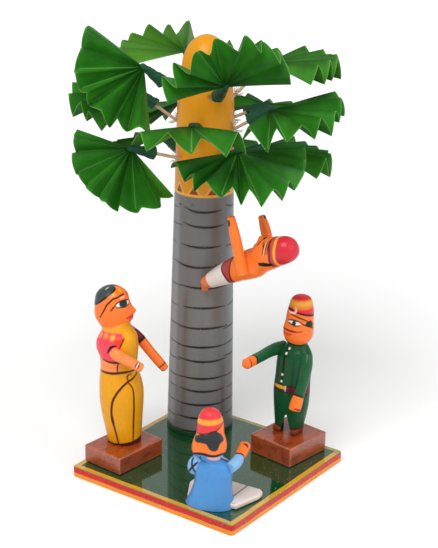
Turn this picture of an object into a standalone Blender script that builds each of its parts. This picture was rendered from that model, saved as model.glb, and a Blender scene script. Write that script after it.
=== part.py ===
"""Palm tree with a climber, a carved and painted wooden scene with folded paper leaves.

A square board carries a turned palm post with fifteen paper leaves on bamboo sticks, a climber
pegged to the post, a woman and a policeman on blocks, and a man who sits facing the tree.
The origin is the centre of the board's underside, +Z is up, and the board's edges lie along X and Y.
"""
import math

import bmesh
import bpy
from mathutils import Matrix, Vector

# Driving dimensions, in metres
MM = 0.001
GAP = 0.3 * MM                  # space between pieces that touch

BOARD_SIDE = 150 * MM
BOARD_THICKNESS = 8.5 * MM
BOARD_CORNER_RADIUS = 3 * MM
BOARD_EDGE_ROUNDING = 0.8 * MM

POST_X = 45.6 * MM
POST_Y = 42.9 * MM
POST_HEIGHT = 318.5 * MM        # above the board
POST_FOOT_RADIUS = 26.5 * MM
POST_TAPER = 0.0185             # radius lost for each unit of height
POST_STRAIGHT_HEIGHT = 258 * MM  # the crown narrows above this
POST_SIDES = 40

# The rounded top of the crown: radius and distance below its tip, in millimetres
CROWN_PROFILE = [(21, 50), (19.7, 34), (18.7, 24), (17.3, 16.5), (15.2, 11), (12.4, 6.6), (9, 3.3),
                 (5, 1.1), (1.2, 0)]

DOWEL_RADIUS = 5 * MM
DOWEL_DEPTH_IN_POST = 22 * MM
DOWEL_SIDES = 16
DOWEL_HOLE_SIDES = 20

STICK_RADIUS = 1.25 * MM
STICK_DEPTH = 9 * MM            # length pushed into the post
STICK_STOP = 1.2 * MM           # the stick ends this far behind the fan's root
STICK_SIDES = 8
HOLE_SIDES = 12
DRILL_OVERRUN = 6 * MM          # how far a hole's cutter stands out of the surface

PAPER_RISE = 0.75 * MM          # paper thickness measured across the fan
FAN_INNER_RADIUS = 2.5 * MM
FAN_DROOP = 2 * MM              # how far the fan's rim bends down
FAN_STEPS = 2                   # strips along each fold
WRAP_LENGTH = 19 * MM           # paper wound round the stick behind the fan
WRAP_RADIUS = 2.7 * MM
WRAP_TAIL_RADIUS = 5.2 * MM
WRAP_SIDES = 10

# Leaves: stick azimuth in degrees from +X, hole height, reach of the fan's root from the post's axis,
# rise of the root above the hole, then the fan's azimuth, elevation, roll and opening in degrees,
# its radius, its number of pleats, and how many degrees a fold stands off the fan's middle plane.
# Lengths are in millimetres.
LEAVES = {
    "top_1": (150, 274, 50, 23, 150, -20, -52, 140, 50, 7, 10),
    "top_2": (57, 272, 45, 24, 84, 8, -8, 112, 50, 6, 9),
    "top_3": (15, 270, 42, 17, 14, 8, -4, 96, 48, 5, 8),
    "top_4": (235, 274, 43, 14, 225, 55, 8, 178, 47, 8, 10),
    "top_5": (314, 272, 46, 24, 309, 1, -3, 120, 54, 7, 8.5),
    "middle_1": (109, 250, 56, 21, 128, -4, -14, 116, 50, 6, 9),
    "middle_2": (287, 248, 51, 18, 258, 0, 10, 138, 53, 7, 8.5),
    "middle_3": (335, 252, 54, 8, 12, -14, 0, 150, 50, 7, 8),
    "middle_4": (204, 250, 47, 10, 213, 0, 0, 118, 53, 4, 8.5),
    "middle_5": (60, 250, 45, 8, 75, -22, 0, 116, 50, 6, 8),
    "low_1": (155, 226, 62, 12, 156, -50, -42, 153, 46, 8, 9),
    "low_2": (249, 226, 44, 13, 238, -22, 2, 180, 51, 10, 7),
    "low_3": (319, 222, 46, 9, 321, -12, 0, 112, 54, 7, 8),
    "low_4": (90, 226, 43, 8, 86, -20, 0, 104, 48, 5, 8),
    "low_5": (30, 222, 46, 6, 30, -22, 0, 100, 50, 5, 8),
}

FIGURE_SIDES = 20
ARM_SIDES = 10
NAIL_RADIUS = 1 * MM
NAIL_HEAD_RADIUS = 2.4 * MM
NAIL_HEAD_HEIGHT = 0.8 * MM
NAIL_DEPTH = 13 * MM            # how far a nail reaches into a figure's foot
NAIL_SIDES = 10
PEG_RADIUS = 1.5 * MM

# Blocks: centre X and Y, length along X, width along Y, height, turn in degrees
WOMAN_BLOCK = (-40.0, 52.6, 48.0, 37.0, 14.0, -4.5)
POLICEMAN_BLOCK = (48.4, -41.0, 44.0, 40.0, 16.0, -6.5)

# Figures: foot centre X and Y, and the way each one faces in degrees from +X
WOMAN_PLACE = (-35.0, 55.7, -60.0)
POLICEMAN_PLACE = (54.2, -38.4, 180.0)
SEATED_PLACE = (-56.7, -42.8, 20.0)

# Sections of the carved figures: height, half depth, half width, forward shift, shift to the left,
# all in millimetres. Each one stands at its own foot centre and faces its own +X.
WOMAN_SECTIONS = [
    (0, 12.8, 13.8, -0.3, 0), (10, 14.1, 14.8, -1.0, 0), (22, 15.6, 15.7, -1.9, 0),
    (33, 16.7, 16.4, -2.4, 0), (43, 16.7, 16.4, -2.7, 0), (50, 15.9, 15.8, -3.4, 0),
    (56, 14.5, 14.9, -4.2, 0), (63, 13.9, 14.1, -4.6, 0), (69, 14.4, 14.4, -4.6, 0),
    (77, 15.9, 15.2, -5.7, 0), (82, 15.4, 14.8, -5.9, 0), (86, 13.4, 13.2, -6.0, 0),
    (89, 10.8, 10.6, -6.0, 0), (92.5, 9.4, 9.2, -6.3, 0), (96, 10.4, 10.0, -7.0, 0),
    (101, 12.2, 11.6, -8.2, 0), (108, 13.1, 12.4, -8.8, 0), (114, 12.8, 12.2, -9.5, 0),
    (119, 11.3, 11.0, -9.8, 0), (122.4, 8.4, 8.3, -9.7, 0), (124.5, 4.6, 4.6, -9.4, 0),
    (125.2, 1.8, 1.8, -9.3, 0),
]
POLICEMAN_SECTIONS = [
    (0, 8.8, 11.4, 0.6, -0.7), (6, 9.2, 12.0, 0.5, -0.5), (16, 10.1, 13.5, 0.2, -0.1),
    (25, 11.2, 14.4, 0.0, 0.1), (34, 11.5, 14.7, -0.1, 0.1), (46, 11.0, 14.3, -0.5, 0.5),
    (58, 10.8, 14.4, -1.0, 1.1), (63, 10.6, 14.0, -1.2, 1.4), (67, 9.6, 12.2, -1.5, 1.7),
    (70.5, 8.0, 9.4, -1.9, 2.2), (73.3, 6.8, 6.9, -2.0, 2.5), (75.6, 8.0, 8.0, -2.0, 2.6),
    (79, 10.1, 9.8, -2.1, 2.8), (84, 11.4, 11.1, -2.0, 2.9), (88.5, 11.2, 11.0, -2.2, 3.1),
    (92.5, 10.5, 10.4, -2.3, 3.3), (98, 10.1, 10.1, -2.4, 3.6), (104, 9.1, 9.1, -2.6, 3.9),
    (108.5, 8.0, 8.0, -2.6, 4.0), (111, 6.2, 6.2, -2.6, 4.0), (112.2, 3.0, 3.0, -2.6, 4.0),
]
SEATED_SECTIONS = [
    (0, 13.0, 18.4, 0, 0.4), (3, 12.6, 17.2, 0, 0.2), (10, 11.6, 15.0, 0, -0.5),
    (20, 10.9, 13.8, 0, -1.5), (29, 10.6, 13.8, 0, -1.3), (33.5, 9.8, 12.6, 0, -0.5),
    (36.8, 8.2, 8.8, 0, 0.7), (39.5, 9.6, 10.4, 0, 1.8), (43, 12.0, 12.4, 0, 2.2),
    (47, 12.3, 12.5, 0, 2.0), (52, 11.2, 11.3, 0, 1.8), (55, 10.0, 10.2, 0, 1.6),
    (62, 8.9, 8.9, 0, 1.3), (66.6, 8.2, 8.2, 0, 1.5), (70.6, 6.9, 6.9, 0, 1.8),
    (73.8, 4.8, 4.8, 0, 2.1), (75.4, 1.8, 1.8, 0, 2.2),
]
CLIMBER_SECTIONS = [
    (1, 4.6, 4.8, 1.2, 0), (8, 6.0, 6.6, 1.2, 0), (18, 7.4, 8.8, 1.2, 0), (28, 8.7, 10.4, 1.1, 0),
    (40, 9.9, 11.4, 0.8, 0), (50, 11.0, 12.0, 0.1, 0), (57, 11.1, 11.6, -0.2, 0),
    (61.5, 10.2, 10.0, -0.2, 0), (66, 10.8, 10.2, 0.6, 0), (73, 11.6, 11.0, 1.2, 0),
    (80, 11.2, 10.8, 0.8, 0), (86, 10.5, 10.3, -0.2, 0), (92, 9.2, 9.2, -0.8, 0),
    (96, 6.4, 6.4, -1.0, 0), (98, 2.4, 2.4, -1.0, 0),
]

# Arms: points of the arm's middle line (forward, left, up) with half thickness, in millimetres
WOMAN_RIGHT_ARM = [(-11, -17.4, 83, 3.4), (-8.5, -18.6, 79.5, 3.9), (-2, -18.6, 76, 3.9),
                   (6, -18.2, 72, 3.5), (12, -17.7, 68.8, 3.2), (15.2, -17.5, 67.2, 2.4)]
WOMAN_LEFT_ARM = [(-1, 16.6, 85.5, 3.4), (7, 18.0, 78, 3.8), (17, 18.0, 65.8, 3.6),
                  (25, 17.6, 56.5, 3.4), (28.5, 17.4, 52.5, 2.3)]
POLICEMAN_RIGHT_ARM = [(-1, -14.2, 64.6, 3.6), (8, -14.6, 65.2, 4.1), (24, -14.0, 65.8, 3.9),
                       (36, -13.6, 66.4, 3.7), (44, -13.2, 66.8, 2.7)]
POLICEMAN_LEFT_ARM = [(2, 14.8, 66, 3.4), (4.5, 15.4, 60, 4.1), (8, 15.4, 49, 4.0),
                      (13, 15.2, 38, 3.9), (17, 14.8, 30.5, 3.6), (17.7, 14.6, 27, 2.8)]
SEATED_RIGHT_ARM = [(-2, -16.2, 33, 3.4), (4, -17.8, 34.2, 4.0), (14, -17.8, 35.4, 3.8),
                    (22, -17.6, 36.4, 3.5), (27, -17.4, 37, 2.6)]
SEATED_LEFT_ARM = [(0, 13.6, 34, 3.4), (2, 15.0, 31, 3.9), (6, 15.0, 27, 3.8),
                   (10, 14.6, 23, 3.5), (11.5, 14.4, 20, 2.6)]
CLIMBER_RIGHT_ARM = [(-5, -14.6, 57, 3.6), (3, -15.2, 60, 3.8), (12, -15.2, 63, 3.7),
                     (22, -15.4, 65.2, 3.5), (29.5, -15.4, 66.4, 2.5)]
CLIMBER_LEFT_ARM = [(-5, 14.8, 54, 3.6), (3, 15.4, 56.6, 3.8), (12, 15.6, 59.4, 3.7),
                    (26, 15.6, 63, 3.5), (36.5, 15.5, 65.8, 2.6)]

# Noses: forward reach of the tip, its height, ridge top height and half width, in millimetres
WOMAN_NOSE = (8.4, 105.5, 112.0, 2.6)
POLICEMAN_NOSE = (13.6, 86.0, 93.0, 2.6)
SEATED_NOSE = (14.8, 45.5, 51.5, 2.4)
CLIMBER_NOSE = (15.4, 70.5, 77.0, 2.0)

LEG_NOTCH_HEIGHT = 16 * MM
LEG_NOTCH_WIDTH = 6.5 * MM
LEG_NOTCH_TOP_WIDTH = 0.8 * MM
TOE_OFFSET = 6.2 * MM
TOE_HALF_WIDTH = 4.2 * MM
TOE_REACH = 10.5 * MM
TOE_HEIGHT = 4.5 * MM

CLIMBER_FOOT_HEIGHT = 131.5 * MM    # above the board
CLIMBER_FOOT_AZIMUTH = 220.0        # place of the peg on the post
CLIMBER_BODY_AZIMUTH = 266.0
CLIMBER_BODY_RISE = 32.0
CLIMBER_PEG_DEPTH = 12 * MM
CLIMBER_PEG_REACH = 9 * MM          # how far the peg stands out of the post

# Crossed legs of the seated man: outline seen from above (forward, left), in millimetres
SEATED_LEGS = [(-7, -16), (-8, -20.5), (14, -32.5), (20, -34), (24, -31.5), (30, -8),
               (31, 0), (29.5, 8), (24, 20.5), (19, 22), (0, 18), (-5, 14)]
SEATED_LEGS_THICKNESS = 4.5 * MM
SEATED_LEGS_ROUNDING = 1.4 * MM


def clear_scene():
    """Remove whatever the scene holds."""
    for old in list(bpy.data.objects):
        bpy.data.objects.remove(old, do_unlink=True)


def paint(name, colour, roughness, metallic=0.0):
    """A plain Principled material."""
    material = bpy.data.materials.new(name)
    material.use_nodes = True
    shader = material.node_tree.nodes["Principled BSDF"]
    shader.inputs["Base Color"].default_value = (*colour, 1.0)
    shader.inputs["Roughness"].default_value = roughness
    shader.inputs["Metallic"].default_value = metallic
    material.diffuse_color = (*colour, 1.0)
    return material


def add_object(name, bm, material, place=None, smooth=30.0):
    """Make an object from a bmesh, with its faces turned outwards."""
    bmesh.ops.recalc_face_normals(bm, faces=bm.faces)
    mesh = bpy.data.meshes.new(name)
    bm.to_mesh(mesh)
    bm.free()
    mesh.shade_smooth()
    mesh.set_sharp_from_angle(angle=math.radians(smooth))
    obj = bpy.data.objects.new(name, mesh)
    bpy.context.scene.collection.objects.link(obj)
    if material is not None:
        mesh.materials.append(material)
    if place is not None:
        obj.matrix_world = place
    return obj


def shape_with(obj, tool, operation):
    """Cut or join a helper shape, which stays hidden."""
    tool.hide_render = True
    tool.display_type = "WIRE"
    modifier = obj.modifiers.new(operation.title() + " " + tool.name, "BOOLEAN")
    modifier.operation = operation
    modifier.solver = "EXACT"
    modifier.object = tool


def section_ring(bm, centre, side_u, side_v, half_u, half_v, sides, power=2.0):
    """A ring of vertices on a rounded section."""
    ring = []
    for index in range(sides):
        angle = math.tau * index / sides
        cosine = math.cos(angle)
        sine = math.sin(angle)
        along_u = half_u * math.copysign(abs(cosine) ** (2.0 / power), cosine)
        along_v = half_v * math.copysign(abs(sine) ** (2.0 / power), sine)
        ring.append(bm.verts.new(centre + side_u * along_u + side_v * along_v))
    return ring


def skin_rings(bm, rings):
    """Join rings into one closed skin with flat ends."""
    for low, high in zip(rings, rings[1:]):
        count = len(low)
        for index in range(count):
            following = (index + 1) % count
            bm.faces.new((low[index], low[following], high[following], high[index]))
    bm.faces.new(list(reversed(rings[0])))
    bm.faces.new(rings[-1])


def carved_form(sections, grow=0.0, sides=FIGURE_SIDES):
    """A standing carved form through its sections, grown all over by a small amount."""
    bm = bmesh.new()
    rings = []
    last = len(sections) - 1
    for index, (height, depth, width, forward, left) in enumerate(sections):
        lift = grow if index == last else (-grow if index == 0 else 0.0)
        centre = Vector((forward * MM, left * MM, height * MM + lift))
        rings.append(section_ring(bm, centre, Vector((1, 0, 0)), Vector((0, 1, 0)),
                                  depth * MM + grow, width * MM + grow, sides, 2.2))
    skin_rings(bm, rings)
    return bm


def arm_form(points):
    """A carved arm along its middle line."""
    bm = bmesh.new()
    centres = [Vector(point[:3]) * MM for point in points]
    rings = []
    for index, centre in enumerate(centres):
        before = centres[max(index - 1, 0)]
        after = centres[min(index + 1, len(centres) - 1)]
        along = (after - before).normalized()
        side_u = along.cross(Vector((0, 1, 0))).normalized()
        side_v = along.cross(side_u).normalized()
        half = points[index][3] * MM
        rings.append(section_ring(bm, centre, side_u, side_v, half, half, ARM_SIDES, 2.6))
    skin_rings(bm, rings)
    return bm


def box_form(low, high):
    """A box between two corners."""
    bm = bmesh.new()
    size = Vector(high) - Vector(low)
    middle = (Vector(high) + Vector(low)) / 2
    place = Matrix.Translation(middle) @ Matrix.Diagonal((*size, 1.0))
    bmesh.ops.create_cube(bm, size=1.0, matrix=place)
    return bm


def rod_form(start, end, start_radius, end_radius, sides):
    """A straight round rod between two points."""
    bm = bmesh.new()
    along = (end - start).normalized()
    side_u = along.orthogonal().normalized()
    side_v = along.cross(side_u)
    rings = [section_ring(bm, start, side_u, side_v, start_radius, start_radius, sides),
             section_ring(bm, end, side_u, side_v, end_radius, end_radius, sides)]
    skin_rings(bm, rings)
    return bm


def turned_form(profile, sides, centre=Vector((0, 0, 0))):
    """A turned form from its radii and heights, bottom to top."""
    bm = bmesh.new()
    rings = [section_ring(bm, centre + Vector((0, 0, height)), Vector((1, 0, 0)), Vector((0, 1, 0)),
                          radius, radius, sides) for radius, height in profile]
    skin_rings(bm, rings)
    return bm


def drill(obj, name, start, end, radius, sides=HOLE_SIDES):
    """Cut a round straight hole."""
    cutter = add_object(name, rod_form(start, end, radius, radius, sides), None)
    shape_with(obj, cutter, "DIFFERENCE")


def make_board(material):
    """The square board, its corners and edges a little rounded."""
    bm = bmesh.new()
    half = BOARD_SIDE / 2 - BOARD_CORNER_RADIUS
    ring = []
    for quarter, (sign_x, sign_y) in enumerate(((1, 1), (-1, 1), (-1, -1), (1, -1))):
        for step in range(5):
            angle = math.pi / 2 * (quarter + step / 4)
            ring.append(bm.verts.new((sign_x * half + BOARD_CORNER_RADIUS * math.cos(angle),
                                      sign_y * half + BOARD_CORNER_RADIUS * math.sin(angle), 0)))
    face = bm.faces.new(ring)
    extruded = bmesh.ops.extrude_face_region(bm, geom=[face])
    raised = [item for item in extruded["geom"] if isinstance(item, bmesh.types.BMVert)]
    bmesh.ops.translate(bm, verts=raised, vec=(0, 0, BOARD_THICKNESS))
    board = add_object("board", bm, material)
    rounding = board.modifiers.new("Rounded edges", "BEVEL")
    rounding.width = BOARD_EDGE_ROUNDING
    rounding.segments = 2
    rounding.limit_method = "ANGLE"
    rounding.angle_limit = math.radians(60)
    foot = Vector((POST_X, POST_Y, 0))
    beyond = Vector((0, 0, MM))
    top = Vector((POST_X, POST_Y, BOARD_THICKNESS))
    drill(board, "board_dowel_hole", foot - beyond, top + beyond, DOWEL_RADIUS + GAP, DOWEL_HOLE_SIDES)


def post_radius(height):
    """Radius of the post's straight part at a height above the board."""
    return POST_FOOT_RADIUS - POST_TAPER * height


def leaf_pivot(leaf):
    """Hole mouth on the post, root of the fan, and the stick's direction."""
    azimuth, hole_height, reach, rise = leaf[:4]
    outward = Vector((math.cos(math.radians(azimuth)), math.sin(math.radians(azimuth)), 0))
    axis_point = Vector((POST_X, POST_Y, BOARD_THICKNESS))
    mouth = axis_point + outward * post_radius(hole_height * MM) + Vector((0, 0, hole_height * MM))
    root = axis_point + outward * reach * MM + Vector((0, 0, (hole_height + rise) * MM))
    return mouth, root, (root - mouth).normalized()


def climber_frame():
    """Peg mouth on the post, and the climber's matrix: +X his front, +Z from feet to head."""
    azimuth = math.radians(CLIMBER_FOOT_AZIMUTH)
    outward = Vector((math.cos(azimuth), math.sin(azimuth), 0))
    mouth = (Vector((POST_X, POST_Y, BOARD_THICKNESS + CLIMBER_FOOT_HEIGHT))
             + outward * post_radius(CLIMBER_FOOT_HEIGHT))
    turn = math.radians(CLIMBER_BODY_AZIMUTH)
    rise = math.radians(CLIMBER_BODY_RISE)
    level = Vector((math.cos(turn), math.sin(turn), 0))
    along = level * math.cos(rise) + Vector((0, 0, math.sin(rise)))
    front = -level * math.sin(rise) + Vector((0, 0, math.cos(rise)))
    left = along.cross(front)
    frame = Matrix((front, left, along)).transposed().to_4x4()
    frame.translation = mouth + outward * 5.5 * MM
    return mouth, outward, frame


def make_post(material):
    """The turned post with its rounded crown, and the holes for the sticks, the peg and the dowel."""
    heights = (GAP, 100 * MM, 200 * MM, POST_STRAIGHT_HEIGHT)
    profile = [(post_radius(height), height) for height in heights]
    profile += [(radius * MM, POST_HEIGHT - depth * MM) for radius, depth in CROWN_PROFILE]
    centre = Vector((POST_X, POST_Y, BOARD_THICKNESS))
    post = add_object("palm_post", turned_form(profile, POST_SIDES, centre), material)
    for name, leaf in LEAVES.items():
        mouth, _, along = leaf_pivot(leaf)
        bottom = mouth - along * (STICK_DEPTH + GAP)
        drill(post, "hole_" + name, bottom, mouth + along * DRILL_OVERRUN, STICK_RADIUS + GAP)
    mouth, outward, _ = climber_frame()
    bottom = mouth - outward * (CLIMBER_PEG_DEPTH + GAP)
    drill(post, "hole_peg", bottom, mouth + outward * DRILL_OVERRUN, PEG_RADIUS + GAP)
    top = centre + Vector((0, 0, DOWEL_DEPTH_IN_POST + GAP))
    below = centre - Vector((0, 0, DRILL_OVERRUN))
    drill(post, "hole_dowel", below, top, DOWEL_RADIUS + GAP, DOWEL_HOLE_SIDES)


def make_dowel(material):
    """The dowel that holds the post on the board, flush with the underside."""
    foot = Vector((POST_X, POST_Y, GAP))
    top = Vector((POST_X, POST_Y, BOARD_THICKNESS + DOWEL_DEPTH_IN_POST - GAP))
    add_object("post_dowel", rod_form(foot, top, DOWEL_RADIUS, DOWEL_RADIUS, DOWEL_SIDES), material)


def bridge_lines(bm, line, following):
    """A strip of faces between two lines of vertices."""
    for step in range(len(line) - 1):
        bm.faces.new((line[step], line[step + 1], following[step + 1], following[step]))


def fan_form(root, azimuth, elevation, roll, opening, radius, pleats, fold_angle):
    """A sheet folded into pleats that spread from their root, as a closed thin solid."""
    bm = bmesh.new()
    level = Vector((math.cos(azimuth), math.sin(azimuth), 0))
    middle = level * math.cos(elevation) + Vector((0, 0, math.sin(elevation)))
    across = Vector((-level.y, level.x, 0))
    upward = middle.cross(across)
    side = across * math.cos(roll) + upward * math.sin(roll)
    normal = middle.cross(side)
    folds = 2 * pleats
    upper = []
    lower = []
    for fold in range(folds + 1):
        spread = opening * (fold / folds - 0.5)
        lift = fold_angle if fold % 2 else -fold_angle
        flat_ray = middle * math.cos(spread) + side * math.sin(spread)
        ray = flat_ray * math.cos(lift) + normal * math.sin(lift)
        for row, offset in ((upper, PAPER_RISE / 2), (lower, -PAPER_RISE / 2)):
            line = []
            for step in range(FAN_STEPS + 1):
                reach = FAN_INNER_RADIUS + (radius - FAN_INNER_RADIUS) * step / FAN_STEPS
                sag = FAN_DROOP * (reach / radius) ** 2
                line.append(bm.verts.new(root + ray * reach + normal * (offset - sag)))
            row.append(line)
    for skin in (upper, lower):
        for line, following in zip(skin, skin[1:]):
            bridge_lines(bm, line, following)
    for fold in (0, folds):
        bridge_lines(bm, upper[fold], lower[fold])
    for step in (0, FAN_STEPS):
        bridge_lines(bm, [line[step] for line in upper], [line[step] for line in lower])
    bmesh.ops.triangulate(bm, faces=bm.faces)
    return bm


def wrap_form(root, along):
    """The paper wound round the stick, closed in front of the fan's root."""
    bm = bmesh.new()
    side_u = along.orthogonal().normalized()
    side_v = along.cross(side_u)
    middle_radius = (WRAP_RADIUS + WRAP_TAIL_RADIUS) / 2
    stations = ((-WRAP_LENGTH, WRAP_TAIL_RADIUS), (-WRAP_LENGTH / 2, middle_radius),
                (-1 * MM, WRAP_RADIUS), (2 * MM, WRAP_RADIUS * 0.85), (3.4 * MM, WRAP_RADIUS * 0.4))
    rings = [section_ring(bm, root + along * distance, side_u, side_v, radius, radius, WRAP_SIDES)
             for distance, radius in stations]
    skin_rings(bm, rings)
    return bm


def make_leaf(name, leaf, paper, bamboo):
    """One paper leaf and its stick, both under a pivot that turns about the stick."""
    mouth, root, along = leaf_pivot(leaf)
    azimuth, elevation, roll, opening = (math.radians(value) for value in leaf[4:8])
    turn = along.to_track_quat("X", "Z").to_matrix().to_4x4()
    turn.translation = mouth
    pivot = bpy.data.objects.new("pivot_" + name, None)
    bpy.context.scene.collection.objects.link(pivot)
    pivot.matrix_world = turn
    back = turn.inverted()

    def under_pivot(part_name, bm, material):
        bm.transform(back)
        part = add_object(part_name, bm, material)
        part.parent = pivot
        return part

    radius, pleats, fold_angle = leaf[8] * MM, leaf[9], math.radians(leaf[10])
    fan_bm = fan_form(root, azimuth, elevation, roll, opening, radius, pleats, fold_angle)
    fan = under_pivot("leaf_" + name, fan_bm, paper)
    shape_with(fan, under_pivot("wrap_" + name, wrap_form(root, along), None), "UNION")
    stick_end = root - along * STICK_STOP
    bore_start = root - along * (WRAP_LENGTH + DRILL_OVERRUN)
    bore_radius = STICK_RADIUS + GAP
    bore = rod_form(bore_start, stick_end + along * GAP, bore_radius, bore_radius, HOLE_SIDES)
    shape_with(fan, under_pivot("bore_" + name, bore, None), "DIFFERENCE")
    stick_start = mouth - along * STICK_DEPTH
    stick = rod_form(stick_start, stick_end, STICK_RADIUS, STICK_RADIUS, STICK_SIDES)
    under_pivot("stick_" + name, stick, bamboo)


def standing_place(place, foot_height):
    """Matrix of a figure that stands on its foot centre and faces its azimuth."""
    x, y, azimuth = place
    turn = Matrix.Rotation(math.radians(azimuth), 4, "Z")
    return Matrix.Translation((x * MM, y * MM, foot_height)) @ turn


def nose_form(nose):
    """A carved wedge of a nose."""
    tip_reach, tip_height, ridge_height, half_width = (value * MM for value in nose)
    bm = bmesh.new()
    inside = tip_reach - 9 * MM
    tip = bm.verts.new((tip_reach, 0, tip_height))
    ridge = bm.verts.new((tip_reach - 4.6 * MM, 0, ridge_height))
    back_top = bm.verts.new((inside, 0, ridge_height))
    left = bm.verts.new((inside, half_width, tip_height - 0.6 * MM))
    right = bm.verts.new((inside, -half_width, tip_height - 0.6 * MM))
    bmesh.ops.convex_hull(bm, input=[tip, ridge, back_top, left, right])
    return bm


def make_arm(name, points, sections, material, place):
    """A separately carved arm, hollowed at the shoulder to sit against the body."""
    arm = add_object(name, arm_form(points), material, place)
    shape_with(arm, add_object("seat_" + name, carved_form(sections, GAP), None, place), "DIFFERENCE")


def make_nail(name, place, block_height, depth, material):
    """A nail driven up through a block into the figure's foot. Returns the cutter of its hole."""
    head_base = -block_height
    head_top = head_base + NAIL_HEAD_HEIGHT
    profile = [(NAIL_HEAD_RADIUS, head_base + GAP), (NAIL_HEAD_RADIUS, head_top),
               (NAIL_RADIUS, head_top), (NAIL_RADIUS, depth - 2 * MM), (0.2 * MM, depth)]
    add_object(name, turned_form(profile, NAIL_SIDES), material, place)
    sink_radius = NAIL_HEAD_RADIUS + GAP
    hole_radius = NAIL_RADIUS + GAP
    hole = [(sink_radius, head_base - MM), (sink_radius, head_top + GAP),
            (hole_radius, head_top + GAP), (hole_radius, depth + GAP)]
    return add_object("hole_" + name, turned_form(hole, HOLE_SIDES), None, place)


def make_block(name, block, material):
    """A varnished block with softened edges, glued to the board."""
    x, y, length, width, height, azimuth = block
    place = standing_place((x, y, azimuth), BOARD_THICKNESS)
    half = Vector((length / 2, width / 2, 0)) * MM
    form = box_form(-half + Vector((0, 0, GAP)), half + Vector((0, 0, height * MM)))
    obj = add_object(name, form, material, place)
    rounding = obj.modifiers.new("Softened edges", "BEVEL")
    rounding.width = 0.7 * MM
    rounding.segments = 2
    return obj


def make_woman(skin, dress, block_paint, steel):
    """The woman with her sari, on her block."""
    block_height = WOMAN_BLOCK[4] * MM
    block = make_block("woman_block", WOMAN_BLOCK, block_paint)
    place = standing_place(WOMAN_PLACE, BOARD_THICKNESS + block_height)
    body_place = place @ Matrix.Translation((0, 0, GAP))
    body = add_object("woman_body", carved_form(WOMAN_SECTIONS), dress, body_place)
    shape_with(body, add_object("woman_nose", nose_form(WOMAN_NOSE), None, body_place), "UNION")
    hole = make_nail("woman_nail", place, block_height, NAIL_DEPTH, steel)
    shape_with(block, hole, "DIFFERENCE")
    shape_with(body, hole, "DIFFERENCE")
    make_arm("woman_right_arm", WOMAN_RIGHT_ARM, WOMAN_SECTIONS, skin, body_place)
    make_arm("woman_left_arm", WOMAN_LEFT_ARM, WOMAN_SECTIONS, skin, body_place)


def make_policeman(cloth, block_paint, steel):
    """The policeman in his tunic and cap, on his block, his right arm held out."""
    block_height = POLICEMAN_BLOCK[4] * MM
    block = make_block("policeman_block", POLICEMAN_BLOCK, block_paint)
    place = standing_place(POLICEMAN_PLACE, BOARD_THICKNESS + block_height)
    body_place = place @ Matrix.Translation((0, 0, GAP))
    body = add_object("policeman_body", carved_form(POLICEMAN_SECTIONS), cloth, body_place)
    shape_with(body, add_object("policeman_nose", nose_form(POLICEMAN_NOSE), None, body_place), "UNION")
    for toe_name, middle in (("right", -TOE_OFFSET), ("left", TOE_OFFSET)):
        near = (2 * MM, middle - TOE_HALF_WIDTH, 0)
        toe = box_form(near, (TOE_REACH, middle + TOE_HALF_WIDTH, TOE_HEIGHT))
        toe_cap = add_object("policeman_toe_" + toe_name, toe, None, body_place)
        shape_with(body, toe_cap, "UNION")
    notch = bmesh.new()
    half = LEG_NOTCH_WIDTH / 2
    half_top = LEG_NOTCH_TOP_WIDTH / 2
    outline = ((-half, -MM), (half, -MM), (half_top, LEG_NOTCH_HEIGHT), (-half_top, LEG_NOTCH_HEIGHT))
    corners = [notch.verts.new((depth, across, height))
               for depth in (-20 * MM, 20 * MM) for across, height in outline]
    bmesh.ops.convex_hull(notch, input=corners)
    shape_with(body, add_object("policeman_leg_notch", notch, None, body_place), "DIFFERENCE")
    nail_place = place @ Matrix.Translation((0, -7 * MM, 0))
    hole = make_nail("policeman_nail", nail_place, block_height, NAIL_DEPTH, steel)
    shape_with(block, hole, "DIFFERENCE")
    shape_with(body, hole, "DIFFERENCE")
    make_arm("policeman_right_arm", POLICEMAN_RIGHT_ARM, POLICEMAN_SECTIONS, cloth, body_place)
    make_arm("policeman_left_arm", POLICEMAN_LEFT_ARM, POLICEMAN_SECTIONS, cloth, body_place)


def make_seated_man(shirt, loincloth):
    """The man who sits cross-legged on the board with his face to the tree."""
    place = standing_place(SEATED_PLACE, BOARD_THICKNESS + GAP)
    body = add_object("seated_man_body", carved_form(SEATED_SECTIONS), shirt, place)
    shape_with(body, add_object("seated_nose", nose_form(SEATED_NOSE), None, place), "UNION")
    bm = bmesh.new()
    face = bm.faces.new([bm.verts.new((x * MM, y * MM, 0)) for x, y in SEATED_LEGS])
    extruded = bmesh.ops.extrude_face_region(bm, geom=[face])
    raised = [item for item in extruded["geom"] if isinstance(item, bmesh.types.BMVert)]
    bmesh.ops.translate(bm, verts=raised, vec=(0, 0, SEATED_LEGS_THICKNESS))
    legs = add_object("seated_man_legs", bm, loincloth, place)
    rounding = legs.modifiers.new("Carved rounding", "BEVEL")
    rounding.width = SEATED_LEGS_ROUNDING
    rounding.segments = 3
    rounding.limit_method = "ANGLE"
    rounding.angle_limit = math.radians(30)
    shape_with(legs, add_object("legs_seat", carved_form(SEATED_SECTIONS, GAP), None, place), "DIFFERENCE")
    make_arm("seated_man_right_arm", SEATED_RIGHT_ARM, SEATED_SECTIONS, shirt, place)
    make_arm("seated_man_left_arm", SEATED_LEFT_ARM, SEATED_SECTIONS, shirt, place)


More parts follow.
